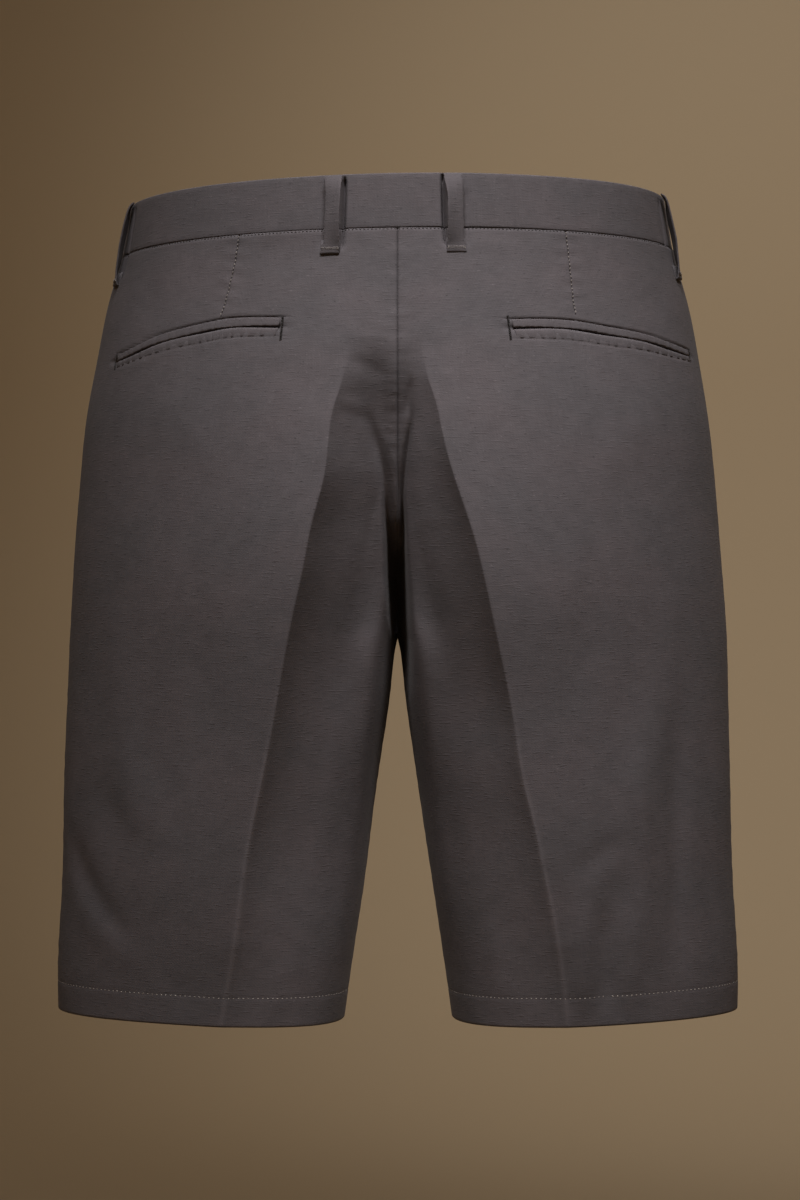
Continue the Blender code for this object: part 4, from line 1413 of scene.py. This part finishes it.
# The bumps' height is made of the weave and these grains
RELIEF = (("weft", 0.7), ("warp", 0.5), ("slub", 0.8))
WEAVE_RELIEF = 0.16
SLUB_RISE = (0.60, 0.80)
BUMP_DEPTH = 0.00018


def cloth_material(name, shade=1.0):
    """Plain-weave cotton and linen, piece-dyed: matt, with uneven linen yarns that show as short
    horizontal slubs and pale and dark flecks."""
    look = bpy.context.scene.shorts_look
    colour = tuple(c * shade for c in look.cloth_colour)
    sheen = {"Sheen Weight": look.cloth_sheen, "Sheen Roughness": 0.45, "Sheen Tint": (0.75, 0.70, 0.68, 1.0)}
    more = {"Specular IOR Level": 0.22, **sheen}
    material, tree, shader = new_material(name, colour, look.cloth_roughness, **more)
    place = add_node(tree, "ShaderNodeUVMap", uv_map="cloth").outputs[0]
    worn = add_node(tree, "ShaderNodeAttribute", attribute_name="wear").outputs["Fac"]
    fac = {"worn": worn}
    for grain in GRAINS:
        location, scale = (grain.shift, grain.shift * 0.7, 0.0), (1 / grain.long, 1 / grain.wide, 1.0)
        mapped = add_node(tree, "ShaderNodeMapping", {"Vector": place, "Location": location, "Scale": scale})
        noise = {"Vector": mapped.outputs[0], "Scale": 1.0, "Detail": grain.detail, "Roughness": grain.rough}
        fac[grain.name] = add_node(tree, "ShaderNodeTexNoise", noise, noise_dimensions="2D").outputs["Fac"]

    tone = 1.0
    # the last step pales rubbed edges, and along the creases it also paints a highlight
    for step in (*TONES, Tone("worn", 0.0, 1.0, 1.0, 1.0 + look.wear)):
        span = {"From Min": step.low, "From Max": step.high, "To Min": step.at_low, "To Max": step.at_high}
        part = add_node(tree, "ShaderNodeMapRange", {"Value": fac[step.grain], **span}, clamp=True).outputs[0]
        tone = add_node(tree, "ShaderNodeMath", {0: tone, 1: part}, operation="MULTIPLY").outputs[0]
    warm = add_node(tree, "ShaderNodeMapRange", {"Value": fac["patch"], "From Min": 0.35, "From Max": 0.7})
    warmer = tuple(c * share for c, share in zip(colour, WARM))
    tint = {0: warm.outputs[0], 6: (*colour, 1.0), 7: (*warmer, 1.0)}
    tinted = add_node(tree, "ShaderNodeMix", tint, data_type="RGBA")
    shaded = add_node(tree, "ShaderNodeVectorMath", {0: tinted.outputs[2], "Scale": tone}, operation="SCALE")
    tree.links.new(shaded.outputs[0], shader.inputs["Base Color"])

    # over and under: the product of two waves, one across and one down, stands for the weave
    split = add_node(tree, "ShaderNodeSeparateXYZ", {0: place}).outputs
    sway = {0: fac["cloud"], 1: YARN_SWAY, 2: -0.5 * YARN_SWAY}
    sway = add_node(tree, "ShaderNodeMath", sway, operation="MULTIPLY_ADD").outputs[0]
    waves = []
    for axis in (0, 1):
        swayed = add_node(tree, "ShaderNodeMath", {0: split[axis], 1: sway}, operation="ADD").outputs[0]
        angle = {0: swayed, 1: math.pi / YARN}
        angle = add_node(tree, "ShaderNodeMath", angle, operation="MULTIPLY").outputs[0]
        waves.append(add_node(tree, "ShaderNodeMath", {0: angle}, operation="SINE").outputs[0])
    weave = add_node(tree, "ShaderNodeMath", {0: waves[0], 1: waves[1]}, operation="MULTIPLY").outputs[0]
    height = add_node(tree, "ShaderNodeMath", {0: weave, 1: WEAVE_RELIEF}, operation="MULTIPLY").outputs[0]
    rise = {"Value": fac["slub"], "From Min": SLUB_RISE[0], "From Max": SLUB_RISE[1]}
    fac["slub"] = add_node(tree, "ShaderNodeMapRange", rise).outputs[0]
    for grain, share in RELIEF:
        more = {0: fac[grain], 1: share, 2: height}
        height = add_node(tree, "ShaderNodeMath", more, operation="MULTIPLY_ADD").outputs[0]
    bump = {"Height": height, "Strength": look.weave_relief, "Distance": BUMP_DEPTH}
    tree.links.new(add_node(tree, "ShaderNodeBump", bump).outputs[0], shader.inputs["Normal"])
    return material


def thread_material(name, colour):
    """Core-spun sewing thread: smooth twisted yarn, a little brighter than the cloth it holds."""
    material, tree, shader = new_material(name, colour, 0.55, **{"Sheen Weight": 0.2})
    place = add_node(tree, "ShaderNodeTexCoord").outputs["Object"]
    twist = add_node(tree, "ShaderNodeTexNoise", {"Vector": place, "Scale": 2600.0, "Detail": 1.0})
    tone = add_node(tree, "ShaderNodeMapRange", {"Value": twist.outputs["Fac"], "To Min": 0.8, "To Max": 1.2})
    shaded = add_node(
        tree, "ShaderNodeVectorMath", {0: tuple(colour), "Scale": tone.outputs[0]}, operation="SCALE"
    )
    tree.links.new(shaded.outputs[0], shader.inputs["Base Color"])
    return material


def horn_material(name):
    """Horn button: polished, mottled brown with soft lighter clouds along the grain."""
    material, tree, shader = new_material(name, linear("#332a24"), 0.28)
    place = add_node(tree, "ShaderNodeTexCoord").outputs["Object"]
    grain = add_node(tree, "ShaderNodeMapping", {"Vector": place, "Scale": (260.0, 160.0, 620.0)})
    cloud = add_node(tree, "ShaderNodeTexNoise", {"Vector": grain.outputs[0], "Scale": 1.0, "Detail": 3.0})
    ramp = add_node(tree, "ShaderNodeValToRGB", {"Fac": cloud.outputs["Fac"]})
    for stop, position, colour in zip(ramp.color_ramp.elements, (0.35, 0.72), ("#2a211c", "#6a5645")):
        stop.position = position
        stop.color = (*linear(colour), 1.0)
    tree.links.new(ramp.outputs[0], shader.inputs["Base Color"])
    return material


def floor_material():
    """Matt painted studio floor."""
    return new_material("studio_floor_paint", linear("#d0b998"), 0.9)[0]


# ---------------------------------------------------------------------------------------------
# The add-on
# ---------------------------------------------------------------------------------------------
class ShortsSizes(bpy.types.PropertyGroup):
    """Sizes a user may change."""

    cloth: FloatProperty(
        name="Cloth", description="Thickness of one layer of cloth", default=CLOTH_WALL, unit="LENGTH"
    )
    stitch_pitch: FloatProperty(
        name="Stitch pitch",
        description="Distance from one stitch to the next",
        default=STITCH_PITCH,
        unit="LENGTH",
    )
    thread: FloatProperty(
        name="Thread", description="Thickness of the sewing thread", default=THREAD, unit="LENGTH"
    )


class ShortsLook(bpy.types.PropertyGroup):
    """Colours and finish a user may change."""

    cloth_colour: FloatVectorProperty(
        name="Cloth colour",
        description="Colour of the dyed cloth",
        subtype="COLOR",
        default=linear("#5e595c"),
    )
    thread_colour: FloatVectorProperty(
        name="Thread colour",
        description="Colour of the hem's thread",
        subtype="COLOR",
        default=linear("#cfc6be"),
    )
    bar_thread_colour: FloatVectorProperty(
        name="Bar thread colour",
        description="Colour of the loops' bars",
        subtype="COLOR",
        default=linear("#8f857f"),
    )
    seam_thread_colour: FloatVectorProperty(
        name="Seam thread colour",
        description="Colour of thread in the seams",
        subtype="COLOR",
        default=linear("#2c2625"),
    )
    cloth_roughness: FloatProperty(
        name="Roughness", description="Roughness of the cloth", default=0.92, subtype="FACTOR"
    )
    cloth_sheen: FloatProperty(
        name="Sheen", description="Soft light on the cloth's fibre ends", default=0.06, subtype="FACTOR"
    )
    weave_relief: FloatProperty(
        name="Weave relief", description="How strongly the weave's bumps show", default=0.5, subtype="FACTOR"
    )
    # how much paler the rubbed edges are drawn, and the painted highlight along the pressed creases
    wear: FloatProperty(
        name="Wear", description="How much paler pressed and rubbed edges are", default=0.26, subtype="FACTOR"
    )


MATERIALS = {}


class SHORTS_OT_materials(bpy.types.Operator):
    """Mixes the cloth, thread and horn"""

    bl_idname = "shorts.materials"
    bl_label = "Materials"

    def execute(self, context):
        look = context.scene.shorts_look
        MATERIALS["cloth"] = cloth_material("cotton_linen_plain_weave")
        MATERIALS["trim"] = cloth_material("cotton_linen_folded_trim", 0.98)
        for thread in ("thread", "bar_thread", "seam_thread"):
            MATERIALS[thread] = thread_material(f"core_spun_{thread}", getattr(look, f"{thread}_colour"))
        MATERIALS["horn"] = horn_material("polished_horn")
        return {"FINISHED"}


class SHORTS_OT_panels(bpy.types.Operator):
    """Makes the two backs and two fronts"""

    bl_idname = "shorts.panels"
    bl_label = "Fronts and backs"

    def execute(self, context):
        for panel in PANELS:
            make_panel(panel, MATERIALS["cloth"])
        return {"FINISHED"}


class SHORTS_OT_waistband(bpy.types.Operator):
    """Makes the waistband with its lap"""

    bl_idname = "shorts.waistband"
    bl_label = "Waistband"

    def execute(self, context):
        make_waistband(MATERIALS["cloth"])
        return {"FINISHED"}


class SHORTS_OT_belt_loops(bpy.types.Operator):
    """Makes the six belt loops"""

    bl_idname = "shorts.belt_loops"
    bl_label = "Belt loops"

    def execute(self, context):
        for loop in LOOPS:
            make_loop(loop, MATERIALS["trim"])
        return {"FINISHED"}


class SHORTS_OT_pockets(bpy.types.Operator):
    """Makes the welts of the back pockets"""

    bl_idname = "shorts.pockets"
    bl_label = "Pocket welts"

    def execute(self, context):
        for pocket in POCKETS:
            for edge in ("upper", "lower"):
                make_welt(pocket, edge, MATERIALS["trim"])
        return {"FINISHED"}


class SHORTS_OT_fly(bpy.types.Operator):
    """Makes the fly shield and finishes the button"""

    bl_idname = "shorts.fly"
    bl_label = "Fly and button"

    def execute(self, context):
        make_fly_shield(MATERIALS["trim"])
        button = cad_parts["waist_button"]
        button.data.materials.clear()
        button.data.materials.append(MATERIALS["horn"])
        return {"FINISHED"}


# Running stitches: pitch and length as shares of the stitch pitch, thickness of the thread's
Seam = namedtuple("Seam", "name lines thread pitch length thick")
SEAMS = (
    Seam("stitches_hems", hem_lines, "thread", 1.1, 0.48, 1.35),
    Seam("stitches_waist_seam", band_lines, "seam_thread", 0.85, 0.45, 1.3),
    Seam("stitches_darts", dart_lines, "bar_thread", 0.9, 0.52, 1.6),
    Seam("stitches_pockets", welt_lines, "seam_thread", 0.9, 0.5, 0.8),
    Seam("stitches_fly", fly_lines, "seam_thread", 1.0, 0.62, 1.0),
)
# Bars and close stitches, with their thread's thickness in millimetres
Bar = namedtuple("Bar", "name lines thread thick")
BARS = (
    Bar("bartacks_loops", loop_bartacks, "bar_thread", 0.42),
    Bar("bartacks_pockets", pocket_bartacks, "seam_thread", 0.38),
    Bar("button_thread", button_thread_lines, "bar_thread", 0.45),
    Bar("buttonhole", buttonhole_lines, "seam_thread", 0.40),
)


class SHORTS_OT_stitches(bpy.types.Operator):
    """Sews the hems, seams, darts, pockets and loops"""

    bl_idname = "shorts.stitches"
    bl_label = "Stitches"

    def execute(self, context):
        pitch, thread = context.scene.shorts_sizes.stitch_pitch, context.scene.shorts_sizes.thread
        tree = running_stitch_tree()
        for seam in SEAMS:
            sizes = {"Pitch": pitch * seam.pitch, "Length": pitch * seam.length}
            sizes["Thickness"] = thread * seam.thick
            sew(seam.name, seam.lines(), tree, MATERIALS[seam.thread], **sizes)
        tree = bartack_tree()
        for bar in BARS:
            sew(bar.name, bar.lines(), tree, MATERIALS[bar.thread], Thickness=bar.thick * MM)
        return {"FINISHED"}


class SHORTS_OT_stage(bpy.types.Operator):
    """Sets the floor, soft lights and camera"""

    bl_idname = "shorts.stage"
    bl_label = "Stage"

    def execute(self, context):
        make_stage(context.scene)
        return {"FINISHED"}


CAMERA_AWAY = 1.84  # metres behind the garment
CAMERA_HEIGHT = -0.2365
CAMERA_ASIDE = -0.0015
CAMERA_LENS = 87.6
FLOOR_HEIGHT = -1.0
FLOOR_RADIUS = 2.6  # of the flat part; round it the floor bends up into a wall all round
FLOOR_RINGS = (0.15, 0.4, 0.7, 0.9)  # on the flat part, as shares of its radius
FLOOR_SIDES = 96
FLOOR_BEND = 1.2
WALL_HEIGHT = 4.0
WORLD_STRENGTH = 0.265

# Soft lamps: place, size, power and aim, and the angle of the cone its light keeps to, towards
# whose edge it falls off
Lamp = namedtuple("Lamp", "name place size power aim beam")
LAMPS = (
    Lamp("key_right", (-0.30, 0.98, 1.28), 0.5, 140.0, (-0.016, 0.1, -0.18), 18.2),
    Lamp("key_left", (0.20, 0.98, 1.28), 0.5, 124.0, (-0.058, 0.1, -0.18), 18.6),
    Lamp("front", (0.15, -2.0, 0.9), 0.8, 135.0, (0.0, 0.0, -0.25), 24.0),
    Lamp("backdrop", (0.7, -1.1, 1.7), 0.6, 114.0, (-1.5, -3.42, -0.12), 87.0),
)


def make_floor():
    """A flat floor that bends up into a wall all round, without an edge."""
    rise = [(FLOOR_RADIUS * share, 0.0) for share in FLOOR_RINGS]
    bends = np.linspace(0.0, BACK, 13)
    rise += [(FLOOR_RADIUS + FLOOR_BEND * math.sin(a), FLOOR_BEND * (1 - math.cos(a))) for a in bends]
    rise.append((FLOOR_RADIUS + FLOOR_BEND, WALL_HEIGHT))
    rounds = np.linspace(0.0, 2 * math.pi, FLOOR_SIDES, endpoint=False)
    points = [(r * math.cos(a), r * math.sin(a), FLOOR_HEIGHT + up) for r, up in rise for a in rounds]
    faces = grid_faces(len(rise), FLOOR_SIDES, True, closed=True)
    mesh = bpy.data.meshes.new("studio_floor")
    mesh.from_pydata(points, [], [tuple(map(int, face)) for face in faces] + [tuple(range(FLOOR_SIDES))])
    mesh.shade_smooth()
    mesh.materials.append(floor_material())
    link("studio_floor", mesh)


def make_stage(scene):
    make_floor()
    world = bpy.data.worlds.new("studio")
    world.use_nodes = True
    background = world.node_tree.nodes["Background"].inputs
    background["Color"].default_value = (*linear("#e6e3de"), 1.0)
    background["Strength"].default_value = WORLD_STRENGTH
    scene.world = world

    for lamp in LAMPS:
        light = bpy.data.lights.new(lamp.name, "SPOT")
        light.energy = lamp.power
        light.shadow_soft_size = lamp.size / 2
        light.spot_size = math.radians(lamp.beam)
        light.spot_blend = 1.0
        holder = link(lamp.name, light)
        holder.location = lamp.place
        aim = Vector(lamp.aim) - Vector(lamp.place)
        holder.rotation_euler = aim.to_track_quat("-Z", "Y").to_euler()

    camera = bpy.data.cameras.new("camera")
    camera.lens = CAMERA_LENS
    camera.sensor_width = 36.0
    camera.clip_start = 0.05
    scene.camera = link("camera", camera)
    scene.camera.location = (CAMERA_ASIDE, CAMERA_AWAY, CAMERA_HEIGHT)
    scene.camera.rotation_euler = (math.pi / 2, 0.0, math.pi)
    scene.view_settings.view_transform = "Standard"


class SHORTS_PT_sidebar(bpy.types.Panel):
    """Lists the steps and settings"""

    bl_idname = "SHORTS_PT_sidebar"
    bl_label = "Bermuda Shorts"
    bl_space_type = "VIEW_3D"
    bl_region_type = "UI"
    bl_category = "Shorts"

    def draw(self, context):
        column = self.layout.column()
        for group in (context.scene.shorts_sizes, context.scene.shorts_look):
            for name in group.__annotations__:
                column.prop(group, name)
        for operator in OPERATORS:
            column.operator(operator.bl_idname)


OPERATORS = (
    SHORTS_OT_materials,
    SHORTS_OT_panels,
    SHORTS_OT_waistband,
    SHORTS_OT_belt_loops,
    SHORTS_OT_pockets,
    SHORTS_OT_fly,
    SHORTS_OT_stitches,
    SHORTS_OT_stage,
)
CLASSES = (ShortsSizes, ShortsLook, *OPERATORS, SHORTS_PT_sidebar)


def register():
    for cls in CLASSES:
        bpy.utils.register_class(cls)
    bpy.types.Scene.shorts_sizes = PointerProperty(type=ShortsSizes)
    bpy.types.Scene.shorts_look = PointerProperty(type=ShortsLook)


def unregister():
    del bpy.types.Scene.shorts_look
    del bpy.types.Scene.shorts_sizes
    for cls in reversed(CLASSES):
        bpy.utils.unregister_class(cls)


def main():
    register()
    for step in ("materials", "panels", "waistband", "belt_loops", "pockets", "fly", "stitches", "stage"):
        getattr(bpy.ops.shorts, step)()
    bpy.context.view_layer.update()


if __name__ == "__main__":
    main()
